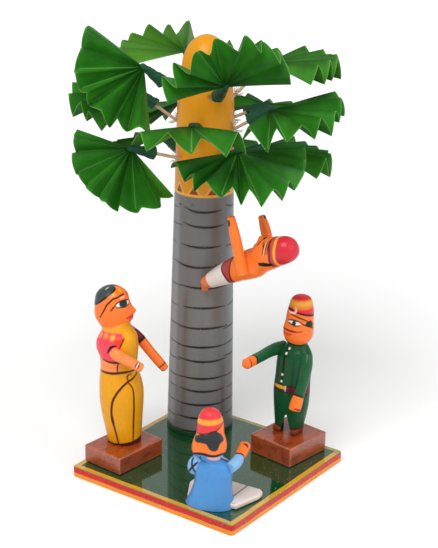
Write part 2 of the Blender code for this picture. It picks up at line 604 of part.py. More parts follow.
def make_climber(skin, bamboo):
    """The climber, his feet flat on the post, held by one peg that he can be turned on."""
    mouth, outward, frame = climber_frame()
    body = add_object("climber_body", carved_form(CLIMBER_SECTIONS), skin, frame)
    shape_with(body, add_object("climber_nose", nose_form(CLIMBER_NOSE), None, frame), "UNION")
    foot_turn = outward.to_track_quat("X", "Z").to_matrix().to_4x4()
    foot_turn.translation = mouth
    foot = box_form((0.9 * MM, -3.6 * MM, -6.6 * MM), (7 * MM, 3.6 * MM, 6.2 * MM))
    shape_with(body, add_object("climber_foot", foot, None, foot_turn), "UNION")
    peg_start = mouth - outward * CLIMBER_PEG_DEPTH
    peg_end = mouth + outward * CLIMBER_PEG_REACH
    add_object("climber_peg", rod_form(peg_start, peg_end, PEG_RADIUS, PEG_RADIUS, STICK_SIDES), bamboo)
    drill(body, "climber_peg_bore", mouth - outward * 4 * MM, peg_end + outward * GAP, PEG_RADIUS + GAP)
    make_arm("climber_right_arm", CLIMBER_RIGHT_ARM, CLIMBER_SECTIONS, skin, frame)
    make_arm("climber_left_arm", CLIMBER_LEFT_ARM, CLIMBER_SECTIONS, skin, frame)


def main():
    """Build every piece."""
    clear_scene()
    board_paint = paint("board_enamel", (0.02, 0.10, 0.05), 0.15)
    post_paint = paint("post_enamel", (0.16, 0.16, 0.16), 0.30)
    block_paint = paint("block_varnish", (0.33, 0.10, 0.04), 0.25)
    skin_paint = paint("skin_enamel", (0.85, 0.26, 0.05), 0.30)
    sari_paint = paint("sari_enamel", (0.85, 0.50, 0.03), 0.30)
    tunic_paint = paint("tunic_enamel", (0.02, 0.14, 0.06), 0.30)
    shirt_paint = paint("shirt_enamel", (0.12, 0.34, 0.62), 0.30)
    loincloth_paint = paint("loincloth_enamel", (0.75, 0.62, 0.58), 0.35)
    leaf_paper = paint("leaf_paper", (0.02, 0.20, 0.03), 0.60)
    bamboo = paint("bamboo", (0.62, 0.44, 0.30), 0.60)
    steel = paint("steel", (0.45, 0.45, 0.46), 0.40, 1.0)

    make_board(board_paint)
    make_post(post_paint)
    make_dowel(bamboo)
    for name, leaf in LEAVES.items():
        make_leaf(name, leaf, leaf_paper, bamboo)
    make_woman(skin_paint, sari_paint, block_paint, steel)
    make_policeman(tunic_paint, block_paint, steel)
    make_seated_man(shirt_paint, loincloth_paint)
    make_climber(skin_paint, bamboo)


main()
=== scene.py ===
"""Palm tree climber toy: the looks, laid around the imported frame.

Turned, carved, folded and split pieces are made again as fine meshes in the solids' places. Painted marks
are brushed on the meshes as a colour attribute, by the angle round a piece and the height along it.
"""
import math

import bmesh
import bpy
import numpy as np
from mathutils import Matrix, Vector


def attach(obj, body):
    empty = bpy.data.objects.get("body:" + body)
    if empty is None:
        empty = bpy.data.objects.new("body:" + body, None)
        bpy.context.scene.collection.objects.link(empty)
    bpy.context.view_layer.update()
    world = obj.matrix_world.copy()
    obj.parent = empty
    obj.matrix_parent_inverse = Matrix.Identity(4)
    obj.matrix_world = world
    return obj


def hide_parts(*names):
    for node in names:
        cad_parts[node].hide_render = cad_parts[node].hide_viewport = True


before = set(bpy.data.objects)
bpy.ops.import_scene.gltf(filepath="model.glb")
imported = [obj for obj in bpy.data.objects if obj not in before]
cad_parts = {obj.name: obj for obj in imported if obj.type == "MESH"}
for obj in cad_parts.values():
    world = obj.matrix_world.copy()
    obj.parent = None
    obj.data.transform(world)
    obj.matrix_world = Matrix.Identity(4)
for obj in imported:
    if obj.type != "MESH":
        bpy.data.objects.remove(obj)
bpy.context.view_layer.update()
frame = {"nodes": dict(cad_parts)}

MM = 0.001

# Spacing of a carved figure's vertices in millimetres, and fine steps on a smooth curve for each row
GRAIN = 0.5
FINE_STEPS = 40
# Roundness of a section's corners: 2 is an ellipse, and more is squarer
FIGURE_ROUNDING = 2.2
ARM_ROUNDING = 2.6
# Rows past the end of an arm that round the hand: how far out, and share of the last half thickness
HAND_ROUNDING = ((0.5, 0.86), (0.9, 0.6))
MOUTH_SPREAD = 34.0
# Edges sharper than this many degrees stay sharp
SHARP_ANGLE = 40
PAPER_SHARP_ANGLE = 25

# Brush strokes: spacing of the points on a stroke and on an edge, and a figure's common radius, by which
# a turn is weighed against a rise
STROKE_SPACING = 1.2
OUTLINE_SPACING = 1.5
COMMON_RADIUS = 12.0

# Camera, in millimetres and degrees
CAMERA_PLACE = (-848.2, -606.2, 542.0)
CAMERA_YAW = 54.68
CAMERA_PITCH = 20.09
CAMERA_ROLL = 1.31
CAMERA_LENS = 98.54
CAMERA_SENSOR = 36.0

# Light: strength of the sky on the object, the point that the lamps face, and each lamp's place, size and
# power. Metres and watts.
SKY_LIGHT = 0.55
LAMP_AIM = (0, 0, 0.12)
LAMPS = {"key": ((-0.7, -0.15, 1.3), 0.8, 13.5), "fill": ((0.3, -1.2, 0.9), 1.0, 5.5)}

# Board, post and blocks, in millimetres
BOARD_SIDE = 150.0
BOARD_THICKNESS = 8.5
# Paint of the board: width of the yellow border and of the dull rim, the height where red meets yellow,
# and how far the brush strays
BORDER_WIDTH = 5.0
RIM_WIDTH = 0.9
SIDE_SPLIT = 4.0
BRUSH_STRAY = 1.6
POST = (45.6, 42.9)
POST_HEIGHT = 318.5
POST_FOOT_RADIUS = 26.5
POST_TAPER = 0.0185
POST_STRAIGHT_HEIGHT = 258.0
CROWN_PROFILE = [(19.7, 34), (18.7, 24), (17.3, 16.5), (15.2, 11), (12.4, 6.6), (9, 3.3), (5, 1.1),
                 (1.2, 0)]
# Blocks: middle (x, y), length, width, height, turn
WOMAN_BLOCK = (-40.0, 52.6, 48.0, 37.0, 14.0, -4.5)
POLICEMAN_BLOCK = (48.4, -41.0, 44.0, 40.0, 16.0, -6.5)
BLOCK_ROUNDING = 0.8
SEAT_GAP = 0.3

# Leaves: stick azimuth, hole height, reach and rise of the root, then the fan's azimuth, elevation, roll,
# opening, radius, number of pleats and fold angle. Millimetres and degrees.
LEAVES = {
    "top_1": (150, 274, 50, 23, 150, -20, -52, 140, 50, 7, 10),
    "top_2": (57, 272, 45, 24, 84, 8, -8, 112, 51, 6, 9),
    "top_3": (15, 270, 42, 17, 14, 8, -4, 96, 48, 5, 8),
    "top_4": (235, 274, 43, 14, 225, 55, 8, 178, 47, 8, 10),
    "top_5": (314, 272, 46, 24, 309, 1, -3, 120, 54, 7, 8.5),
    "middle_1": (109, 250, 56, 21, 128, -4, -14, 116, 50, 6, 9),
    "middle_2": (287, 248, 51, 18, 258, 0, 10, 138, 53, 7, 8.5),
    "middle_3": (335, 252, 54, 8, 12, -14, 0, 150, 50, 7, 8),
    "middle_4": (204, 250, 47, 10, 213, 0, 0, 118, 53, 4, 8.5),
    "middle_5": (60, 250, 45, 8, 75, -22, 0, 116, 50, 6, 8),
    "low_1": (155, 226, 62, 12, 156, -50, -42, 153, 46, 8, 9),
    "low_2": (249, 226, 44, 13, 238, -22, 2, 180, 51, 10, 7),
    "low_3": (319, 222, 46, 9, 321, -12, 0, 112, 54, 7, 8),
    "low_4": (90, 226, 43, 8, 86, -20, 0, 104, 48, 5, 8),
    "low_5": (30, 222, 46, 6, 30, -22, 0, 100, 50, 5, 8),
}
# How far a leaf's green has turned to yellow; the others are fresh green
LEAF_YELLOWING = {"top_2": 0.45, "top_3": 0.15, "top_5": 0.12, "middle_4": 0.08, "low_4": 0.1}
# How round the folds of a leaf are, from sharp (0) to wavy (1)
LEAF_WAVES = {"top_2": 1.0, "top_4": 0.75, "low_1": 0.6, "top_1": 0.35}
USUAL_WAVES = 0.15
# Height of a fully wavy fold, and how far a panel bulges between its creases, for a sharp fold of 1
WAVE_HEIGHT = 0.86
PANEL_BULGE = 0.13
# How unevenly the fans are folded: in all, then in the folds' heights, places and lengths
FAN_UNEVENNESS = 0.7
FOLD_HEIGHT_SPREAD = 0.55
FOLD_PLACE_SPREAD = 0.5
FOLD_LENGTH_SPREAD = 0.07
# Keeps a grid point that lies on a crease on the crease's own side
CREASE_SLACK = 0.0001
# Sticks: radius, depth in the hole, gap before the root of the fan, and how flat the split sides are
STICK_RADIUS = 1.25
STICK_DEPTH = 9.0
STICK_END_GAP = 1.2
STICK_FLATS = 0.16
# Fans: radius where the folds start, droop of the rim and thickness of the paper
FAN_CORE = 2.5
FAN_DROOP = 2.0
PAPER = 0.22
# The paper wound round a stick: length, radius at the root and at the tail, length of a turn, height of
# its edge, and crinkle
WRAP_LENGTH = 19.0
WRAP_RADIUS = 2.7
WRAP_TAIL_RADIUS = 5.2
WRAP_PITCH = 9.0
WRAP_STEP = 0.5
WRAP_CRINKLE = 0.1
# Tufts of glued fibre: strands, their length, how far they stand off the crown, and their thickness; each
# strand is turned from the last by the golden angle, in radians
TUFT_STRANDS = 26
TUFT_LENGTH = 5.0
TUFT_STAND_OFF = 1.7
TUFT_THICKNESS = 0.22
GOLDEN_ANGLE = 2.39996

# Places of the figures (x, y, azimuth faced) and their sections: height, half depth, half width,
# forward shift, shift to the left. Millimetres and degrees.
WOMAN_PLACE = (-35.0, 55.7, -60.0)
POLICEMAN_PLACE = (54.2, -38.4, 180.0)
SEATED_PLACE = (-56.7, -42.8, 20.0)
WOMAN_SECTIONS = [
    (0, 12.8, 13.8, -0.3, 0), (10, 14.1, 14.8, -1.0, 0), (22, 15.6, 15.7, -1.9, 0),
    (33, 16.7, 16.4, -2.4, 0), (43, 16.7, 16.4, -2.7, 0), (50, 15.9, 15.8, -3.4, 0),
    (56, 14.5, 14.9, -4.2, 0), (63, 13.9, 14.1, -4.6, 0), (69, 14.4, 14.4, -4.6, 0),
    (77, 15.9, 15.2, -5.7, 0), (82, 15.6, 14.8, -5.7, 0), (86, 14.2, 13.4, -5.2, 0),
    (89, 12.6, 11.4, -5.2, 0), (92.5, 11.3, 10.2, -6.3, 0), (96, 11.8, 10.8, -7.9, 0),
    (101, 13.3, 12.0, -9.1, 0), (108, 13.6, 12.5, -9.2, 0), (114, 13.0, 12.3, -9.6, 0),
    (119, 11.6, 11.2, -9.7, 0), (122.4, 8.4, 8.3, -9.7, 0), (124.5, 4.6, 4.6, -9.4, 0),
    (125.2, 1.8, 1.8, -9.3, 0),
]
POLICEMAN_SECTIONS = [
    (0, 8.8, 11.4, 0.6, -0.7), (6, 9.2, 12.0, 0.5, -0.5), (16, 10.1, 13.5, 0.2, -0.1),
    (25, 11.2, 14.4, 0.0, 0.1), (34, 11.5, 14.7, -0.1, 0.1), (46, 11.0, 14.3, -0.5, 0.5),
    (58, 10.8, 14.4, -1.0, 1.1), (63, 10.6, 14.0, -1.2, 1.4), (67, 9.6, 12.2, -1.5, 1.7),
    (70.5, 8.0, 9.4, -1.9, 2.2), (73.3, 7.4, 7.5, -2.0, 2.5), (75.6, 9.2, 9.0, -2.0, 2.6),
    (79, 10.9, 10.6, -2.1, 2.8), (84, 11.4, 11.1, -2.0, 2.9), (88.5, 11.2, 11.0, -2.2, 3.1),
    (92.5, 10.5, 10.4, -2.3, 3.3), (98, 10.1, 10.1, -2.4, 3.6), (104, 9.1, 9.1, -2.6, 3.9),
    (108.5, 8.0, 8.0, -2.6, 4.0), (111, 6.2, 6.2, -2.6, 4.0), (112.2, 3.0, 3.0, -2.6, 4.0),
]
SEATED_SECTIONS = [
    (0, 13.0, 18.4, 0, 0.4), (3, 12.6, 17.2, 0, 0.2), (10, 11.6, 15.0, 0, -0.5),
    (20, 10.9, 13.8, 0, -1.5), (29, 10.6, 13.8, 0, -1.3), (33.5, 9.8, 12.6, 0, -0.5),
    (36.8, 8.2, 8.8, 0, 0.7), (39.5, 9.6, 10.4, 0, 1.8), (43, 12.0, 12.4, 0, 2.2),
    (47, 12.3, 12.5, 0, 2.0), (52, 11.2, 11.3, 0, 1.8), (55, 10.0, 10.2, 0, 1.6),
    (62, 9.3, 9.5, 0, 1.5), (66.6, 8.8, 9.0, 0, 1.7), (70.6, 7.5, 7.6, 0, 1.9),
    (73.8, 5.3, 5.3, 0, 2.1), (75.4, 2.0, 2.0, 0, 2.2),
]
CLIMBER_SECTIONS = [
    (1, 4.6, 4.8, 1.2, 0), (8, 6.0, 6.6, 1.2, 0), (18, 7.4, 8.8, 1.2, 0), (28, 8.7, 10.4, 1.1, 0),
    (40, 9.9, 11.4, 0.8, 0), (50, 11.0, 12.0, 0.1, 0), (57, 11.1, 11.6, -0.2, 0),
    (61.5, 10.2, 10.0, -0.2, 0), (66, 10.8, 10.2, 0.6, 0), (73, 11.6, 11.0, 1.2, 0),
    (80, 11.2, 10.8, 0.8, 0), (86, 10.5, 10.3, -0.2, 0), (92, 9.2, 9.2, -0.8, 0),
    (96, 6.4, 6.4, -1.0, 0), (98, 2.4, 2.4, -1.0, 0),
]

# Noses: how far the tip stands out, its height, the height where the ridge starts, its spread, the angle
# that the face is turned to, from the figure's front to its left, and how far the mouth stands out.
# Millimetres and degrees.
WOMAN_NOSE = (2.9, 106.6, 113.5, 13, 0, 2.3)
POLICEMAN_NOSE = (1.0, 87.6, 94.0, 15, -34, 0.4)
SEATED_NOSE = (2.7, 45.5, 52.0, 13, 0, 1.6)
CLIMBER_NOSE = (3.0, 70.5, 78.0, 13, 0, 1.4)
# The angle that the policeman's painted face is turned to
POLICEMAN_FACE = -32

# Arms: points of the middle line (forward, left, up) with half thickness, in millimetres
WOMAN_RIGHT_ARM = [(-6.4, -16.8, 79.4, 3.2), (-3.6, -18.4, 77.6, 4.1), (2, -18.5, 74.4, 4.0),
                   (8, -18.0, 71.2, 3.6), (12.5, -17.6, 68.7, 3.4), (15.4, -17.4, 67.2, 3.1)]
WOMAN_LEFT_ARM = [(-1, 16.6, 85.5, 3.4), (7, 18.0, 78, 3.8), (17, 18.0, 65.8, 3.6),
                  (25, 17.6, 56.5, 3.5), (28.5, 17.4, 52.5, 3.0)]
POLICEMAN_RIGHT_ARM = [(-3, -9.5, 66.5, 4.6), (4, -12.4, 66.2, 4.6), (11, -14.0, 65.8, 4.2),
                       (24, -14.0, 65.8, 3.9), (36, -13.6, 66.4, 3.9), (44.2, -13.2, 66.6, 3.8)]
POLICEMAN_LEFT_ARM = [(1, 13.4, 66.6, 4.0), (4.0, 15.0, 61, 4.5), (8, 15.4, 49, 4.1),
                      (12.5, 15.2, 39, 3.8), (16.6, 14.9, 31, 4.4), (18.0, 14.8, 27.2, 4.3)]
SEATED_RIGHT_ARM = [(-3, -14.4, 32, 3.8), (4, -17.2, 33.4, 4.0), (12, -17.8, 34.6, 3.8),
                    (19, -18.0, 35.6, 4.1), (25.6, -18.0, 36.2, 4.1)]
SEATED_LEFT_ARM = [(-4, 8.0, 38.0, 3.4), (-5, 11.0, 34.6, 4.3), (-4, 12.4, 29.8, 4.4),
                   (-1, 12.8, 26.0, 4.0), (6, 13.2, 23.0, 3.7), (11.5, 13.8, 21.0, 3.4)]
CLIMBER_RIGHT_ARM = [(-5, -14.6, 57, 3.6), (3, -15.2, 60, 3.8), (12, -15.2, 63, 3.7),
                     (22, -15.4, 65.2, 3.5), (29.5, -15.4, 66.4, 2.5)]
CLIMBER_LEFT_ARM = [(-5, 14.8, 54, 3.6), (3, 15.4, 56.6, 3.8), (12, 15.6, 59.4, 3.7),
                    (26, 15.6, 63, 3.5), (36.5, 15.5, 65.8, 2.6)]

# The gap between the policeman's feet: its height, its sides below and above, how far it goes through and
# how it is turned; and the toes on both sides of it
LEG_NOTCH_HEIGHT = 16.4
LEG_NOTCH_BOTTOM = (-8.2, 1.4)
LEG_NOTCH_TOP = (-3.8, -2.8)
LEG_NOTCH_REACH = 20.0
LEG_NOTCH_TURN = 31.0
TOE_OFFSET = 6.6
TOE_HALF_WIDTH = 4.0
TOE_REACH = 9.8
TOE_HEIGHT = 4.2
TOE_ROUNDING = 1.4

# The climber: height and azimuth of the peg in the trunk, azimuth and rise of the body from feet to head,
# how far the soles stand off the trunk, and the corners and rounding of the heel in front of the peg
CLIMBER_FOOT_HEIGHT = 131.5
CLIMBER_FOOT_AZIMUTH = 220.0
CLIMBER_BODY_AZIMUTH = 266.0
CLIMBER_BODY_RISE = 32.0
CLIMBER_STAND_OFF = 5.5
CLIMBER_HEEL = ((0.9, -2.4, -5.6), (6.0, 2.4, 3.8))
CLIMBER_HEEL_ROUNDING = 1.2

# The seated man's crossed legs: outline, thickness, rounding of the edge and middle
SEATED_LEGS = [(-5, -15), (-5.4, -20.5), (14, -32.5), (20, -34), (24, -31.5), (30, -8),
               (31, 0), (29.5, 8), (24, 20.5), (19, 22), (0, 18), (-5, 14)]
SEATED_LEGS_THICKNESS = 4.5
LEGS_ROUNDING = 1.4
LEGS_CENTRE = np.array((12.0, -4.0))

# Kind of a node tree's input for each kind of default value
SOCKET_KINDS = {float: "NodeSocketFloat", int: "NodeSocketInt", tuple: "NodeSocketColor",
                type(None): "NodeSocketMaterial"}


def tint(code):
    """A colour for a shader from its hexadecimal name on screen."""
    parts = [int(code[start:start + 2], 16) / 255 for start in (0, 2, 4)]
    return tuple(((p + 0.055) / 1.055) ** 2.4 if p > 0.04045 else p / 12.92 for p in parts)


BLACK = tint("1c1210")
UMBER = tint("4a1508")
MAROON = tint("7c1420")
SKIN = tint("f0762c")
SKIN_LIGHT = tint("f68a4a")
MUSTARD = tint("e29a0c")
SAFFRON = tint("f0a028")
PINK = tint("e84656")
RED = tint("da2c34")
SCARLET = tint("e23a1c")
SLATE = tint("3a4648")
BOTTLE = tint("0e4c28")
BOOT = tint("7a3418")
WHITE = tint("f0e8e0")
ROSE = tint("f0b4b0")
SKY = tint("4d8cca")
CLOTH = tint("ddd0c8")
GREY = tint("706f6e")
CROWN = tint("d68d08")


def wrapped(angle):
    """An angle in degrees, between -180 and 180."""
    return (angle + 180) % 360 - 180


def feathered(inward, soft):
    """How much paint lies this far inside a brushed edge, from 0 to 1."""
    return np.clip(inward / soft + 0.5, 0, 1)


def travelled(points):
    """How far along a line each of its points lies."""
    return np.concatenate([[0.0], np.cumsum(np.linalg.norm(np.diff(points, axis=0), axis=1))])


def smooth_columns(rows, spacing, along):
    """Rows of numbers on one smooth curve, spaced evenly by their first columns."""
    rows = np.array(rows, float)
    knots = travelled(rows[:, :along])
    step = np.linalg.norm(np.diff(rows[:, :along], axis=0), axis=1)
    slope = np.diff(rows, axis=0) / step[:, None]
    weight = (step[1:] / (step[:-1] + step[1:]))[:, None]
    tangent = np.vstack([slope[:1], slope[:-1] * weight + slope[1:] * (1 - weight), slope[-1:]])
    fine = np.linspace(0, knots[-1], FINE_STEPS * len(rows))
    index = np.clip(np.searchsorted(knots, fine, side="right") - 1, 0, len(step) - 1)
    t = ((fine - knots[index]) / step[index])[:, None]
    low, high = rows[index], rows[index + 1]
    pull = step[index][:, None]
    curve = (low * (2 * t**3 - 3 * t**2 + 1) + high * (3 * t**2 - 2 * t**3)
             + tangent[index] * pull * (t**3 - 2 * t**2 + t) + tangent[index + 1] * pull * (t**3 - t**2))
    travel = travelled(curve[:, :along])
    even = np.linspace(0, travel[-1], max(3, round(travel[-1] / spacing) + 1))
    return np.stack([np.interp(even, travel, column) for column in curve.T], 1)


def rounded_ring(columns, power):
    """Cosines and sines of a ring on a rounded section."""
    angle = np.arange(columns) * math.tau / columns
    cosine, sine = np.cos(angle), np.sin(angle)
    return (np.sign(cosine) * np.abs(cosine) ** (2 / power), np.sign(sine) * np.abs(sine) ** (2 / power))


def ring_columns(radius):
    """How many columns a ring of this radius takes, a multiple of four."""
    return int(round(math.tau * radius / GRAIN / 4)) * 4


def ring_mesh(name, rings):
    """A closed mesh through rings of points in millimetres, with a middle vertex at each end."""
    rows, columns = rings.shape[:2]
    vertices = np.vstack([rings.reshape(-1, 3), rings[0].mean(0), rings[-1].mean(0)]) * MM
    ring = np.arange(columns)
    following = (ring + 1) % columns
    start = (np.arange(rows - 1) * columns)[:, None]
    quads = np.stack([start + ring, start + following, start + columns + following,
                      start + columns + ring], -1).reshape(-1, 4)
    bottom = np.stack([following, ring, np.full(columns, rows * columns)], -1)
    last = (rows - 1) * columns
    top = np.stack([last + ring, last + following, np.full(columns, rows * columns + 1)], -1)
    mesh = bpy.data.meshes.new(name)
    mesh.from_pydata(vertices.tolist(), [], quads.tolist() + bottom.tolist() + top.tolist())
    mesh.update()
    return mesh


def read_points(mesh):
    """A mesh's vertices in millimetres."""
    flat = np.empty(len(mesh.vertices) * 3)
    mesh.vertices.foreach_get("co", flat)
    return flat.reshape(-1, 3) / MM


def write_colour(mesh, name, values):
    """Store a colour for each vertex."""
    attribute = mesh.attributes.new(name, "FLOAT_COLOR", "POINT")
    rgba = np.ones((len(values), 4))
    rgba[:, :3] = np.clip(values, 0, 1)
    attribute.data.foreach_set("color", rgba.ravel())


def write_value(mesh, name, values):
    """Store a number for each vertex."""
    mesh.attributes.new(name, "FLOAT", "POINT").data.foreach_set("value", np.asarray(values, float))


def put_in_scene(name, data):
    """A new object in the scene, for a mesh, a lamp or the camera."""
    thing = bpy.data.objects.new(name, data)
    bpy.context.scene.collection.objects.link(thing)
    return thing


def add_piece(name, mesh, body, material, nodes, place=None, sharp=SHARP_ANGLE):
    """Turn a mesh into a piece that rides on a body and stands for solids."""
    if place is not None:
        mesh.transform(place)
    mesh.materials.clear()
    mesh.materials.append(material)
    mesh.shade_smooth()
    mesh.set_sharp_from_angle(angle=math.radians(sharp))
    piece = put_in_scene(name, mesh)
    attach(piece, body)
    if nodes:
        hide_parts(*nodes)


def evaluated_mesh(thing):
    """A plain mesh of an object with its modifiers; the object then leaves the scene."""
    mesh = bpy.data.meshes.new_from_object(thing.evaluated_get(bpy.context.evaluated_depsgraph_get()))
    bpy.data.objects.remove(thing)
    return mesh


def shaped(mesh, tools, operation):
    """A mesh cut by, or joined with, other meshes."""
    work = put_in_scene("work", mesh)
    helpers = [put_in_scene("helper", tool) for tool in tools]
    for helper in helpers:
        modifier = work.modifiers.new("shape", "BOOLEAN")
        modifier.operation = operation
        modifier.solver = "EXACT"
        modifier.object = helper
    result = evaluated_mesh(work)
    for helper in helpers:
        bpy.data.objects.remove(helper)
    return result


def mesh_from(bm, name):
    """The mesh that a bmesh holds; the bmesh is freed."""
    mesh = bpy.data.meshes.new(name)
    bm.to_mesh(mesh)
    bm.free()
    return mesh


def hull_mesh(points):
    """The convex solid round a few points in millimetres."""
    bm = bmesh.new()
    corners = [bm.verts.new(Vector(point) * MM) for point in points]
    bmesh.ops.convex_hull(bm, input=corners)
    return mesh_from(bm, "hull")


def soft_box_mesh(low, high, radius, spacing):
    """A box with rounded edges, in even small faces, in millimetres."""
    low, high = np.array(low, float), np.array(high, float)
    bm = bmesh.new()
    for axis in range(3):
        u_axis, v_axis = (axis + 1) % 3, (axis + 2) % 3
        us, vs = (np.linspace(low[k], high[k], max(4, math.ceil((high[k] - low[k]) / spacing)) + 1)
                  for k in (u_axis, v_axis))
        for side in (low, high):
            grid = []
            for u in us:
                line = []
                for v in vs:
                    point = np.empty(3)
                    point[axis], point[u_axis], point[v_axis] = side[axis], u, v
                    core = np.clip(point, low + radius, high - radius)
                    out = point - core
                    line.append(bm.verts.new(core + out * (radius / max(np.linalg.norm(out), 1e-9))))
                grid.append(line)
            for first, second in zip(grid, grid[1:]):
                for index in range(len(first) - 1):
                    corners = (first[index], second[index], second[index + 1], first[index + 1])
                    bm.faces.new(corners if side is high else corners[::-1])
    bmesh.ops.remove_doubles(bm, verts=bm.verts, dist=0.01)
    bmesh.ops.scale(bm, vec=(MM, MM, MM), verts=bm.verts)
    return mesh_from(bm, "soft_box")


class Canvas:
    """Enamel brushed on a piece: a colour for each vertex, placed by angle, height and radius."""

    def __init__(self, angle, height, radius, ground):
        self.angle = angle
        self.height = height
        self.radius = radius
        self.colour = np.tile(np.array(ground, float), (len(angle), 1))

    def cover(self, mask, colour):
        """Lay a colour where the mask is."""
        mask = np.asarray(mask, float)[:, None]
        self.colour = self.colour * (1 - mask) + np.array(colour) * mask

    def nearest(self, points):
        """Distance of each vertex to a line, and how far along the line, from 0 to 1."""
        runs = [(angle_a, height_a, math.radians(wrapped(angle_b - angle_a)), height_b - height_a)
                for (angle_a, height_a), (angle_b, height_b) in zip(points, points[1:])]
        lengths = [math.hypot(turn * COMMON_RADIUS, rise) + 1e-6 for _, _, turn, rise in runs]
        total = sum(lengths)
        best = np.full(len(self.angle), 1e9)
        share = np.zeros(len(self.angle))
        before = 0.0
        for (angle, height, turn, rise), length in zip(runs, lengths):
            across = np.radians(wrapped(self.angle - angle)) * self.radius
            upward = self.height - height
            step_across = turn * self.radius
            square = step_across**2 + rise**2 + 1e-9
            t = np.clip((across * step_across + upward * rise) / square, 0, 1)
            distance = np.hypot(across - t * step_across, upward - t * rise)
            closer = distance < best
            best = np.where(closer, distance, best)
            share = np.where(closer, (before + t * length) / total, share)
            before += length
        return best, share

    def stroke(self, points, width, colour, taper=0.55, soft=0.5):
        """One brush stroke through points, thinner at its ends."""
        points = unwound(points)
        if len(points) > 2:
            points = smooth_columns(points, STROKE_SPACING, 2).tolist()
        distance, share = self.nearest(points)
        half = width / 2 * (1 - taper + taper * np.sin(math.pi * np.clip(share, 0.04, 0.96)))
        self.cover(feathered(half - distance, soft), colour)

    def dot(self, place, radius, colour, soft=0.5):
        """A touch of the brush."""
        distance, _ = self.nearest([place, (place[0] + 0.1, place[1])])
        self.cover(feathered(radius - distance, soft), colour)

    def level(self, edge):
        """Height of an edge: one number, or a smooth line through (angle, height) points all round."""
        if isinstance(edge, (int, float)):
            return np.full(len(self.angle), float(edge))
        points = sorted((angle % 360, height) for angle, height in edge)
        points = [(points[-1][0] - 360, points[-1][1])] + points + [(points[0][0] + 360, points[0][1])]
        line = smooth_columns(points, OUTLINE_SPACING, 2)
        return np.interp(self.angle % 360, line[:, 0], line[:, 1])

    def band(self, low, high, colour, soft=0.5):
        """All round the piece between two edges."""
        above = feathered(self.height - self.level(low), soft)
        below = feathered(self.level(high) - self.height, soft)
        self.cover(above * below, colour)

    def patch(self, points, colour, soft=0.5):
        """A closed patch inside its outline."""
        points = unwound(points)
        centre = sum(point[0] for point in points) / len(points)
        angle = wrapped(self.angle - centre) + centre
        inside = np.zeros(len(angle), bool)
        for (angle_a, height_a), (angle_b, height_b) in zip(points, points[1:] + points[:1]):
            if height_a != height_b:
                crosses = (height_a > self.height) != (height_b > self.height)
                meets = angle_a + (self.height - height_a) * (angle_b - angle_a) / (height_b - height_a)
                inside ^= crosses & (angle < meets)
        distance, _ = self.nearest(points + points[:1])
        self.cover(feathered(np.where(inside, distance, -distance), soft), colour)

    def finish(self, mesh):
        """Put the paint on the mesh."""
        write_colour(mesh, "paint", self.colour)


def unwound(points):
    """Points whose angles don't jump a full turn from one to the next."""
    result = [tuple(points[0])]
    for angle, height in points[1:]:
        last = result[-1][0]
        result.append((last + wrapped(angle - last), height))
    return result


def mirrored(points, middle=0):
    """The same points on the other side of a middle line."""
    return [(2 * middle - angle, height) for angle, height in points]


def push_nose(rings, rows, nose):
    """Draw a nose and a mouth out of the front of a head."""
    reach, tip, ridge, spread, turn, mouth = nose
    height = rows[:, 0]
    bridge = tip + (ridge - tip) * 0.55
    profile = np.interp(height, [tip - 3.2, tip - 1.0, tip, bridge, ridge], [0, 0.75, 1, 0.42, 0])
    lips = np.interp(height, [tip - 11, tip - 6, tip - 2, tip + 3], [0, 1, 0.9, 0])
    angle = np.degrees(np.arctan2(rings[:, :, 1] - rows[:, 4:5], rings[:, :, 0] - rows[:, 3:4]))
    angle = wrapped(angle - turn)
    push = (reach * np.exp(-(angle / spread) ** 2) * profile[:, None]
            + mouth * np.exp(-(angle / MOUTH_SPREAD) ** 2) * lips[:, None])
    rings[:, :, 0] += push * math.cos(math.radians(turn))
    rings[:, :, 1] += push * math.sin(math.radians(turn))


def carved_mesh(name, sections, nose):
    """A carved figure in its own frame: +X its front, +Z up."""
    rows = smooth_columns(sections, GRAIN, 2)
    columns = ring_columns(rows[:, 1:3].max())
    cosine, sine = rounded_ring(columns, FIGURE_ROUNDING)
    rings = np.stack([rows[:, 3:4] + rows[:, 1:2] * cosine, rows[:, 4:5] + rows[:, 2:3] * sine,
                      np.repeat(rows[:, :1], columns, 1)], -1)
    push_nose(rings, rows, nose)
    return ring_mesh(name, rings)


def figure_canvas(mesh, sections, ground):
    """A canvas on a carved figure."""
    points = read_points(mesh)
    table = np.array(sections, float)
    height = points[:, 2]
    across = points[:, 0] - np.interp(height, table[:, 0], table[:, 3])
    aside = points[:, 1] - np.interp(height, table[:, 0], table[:, 4])
    return Canvas(np.degrees(np.arctan2(aside, across)), height, np.hypot(across, aside), ground)


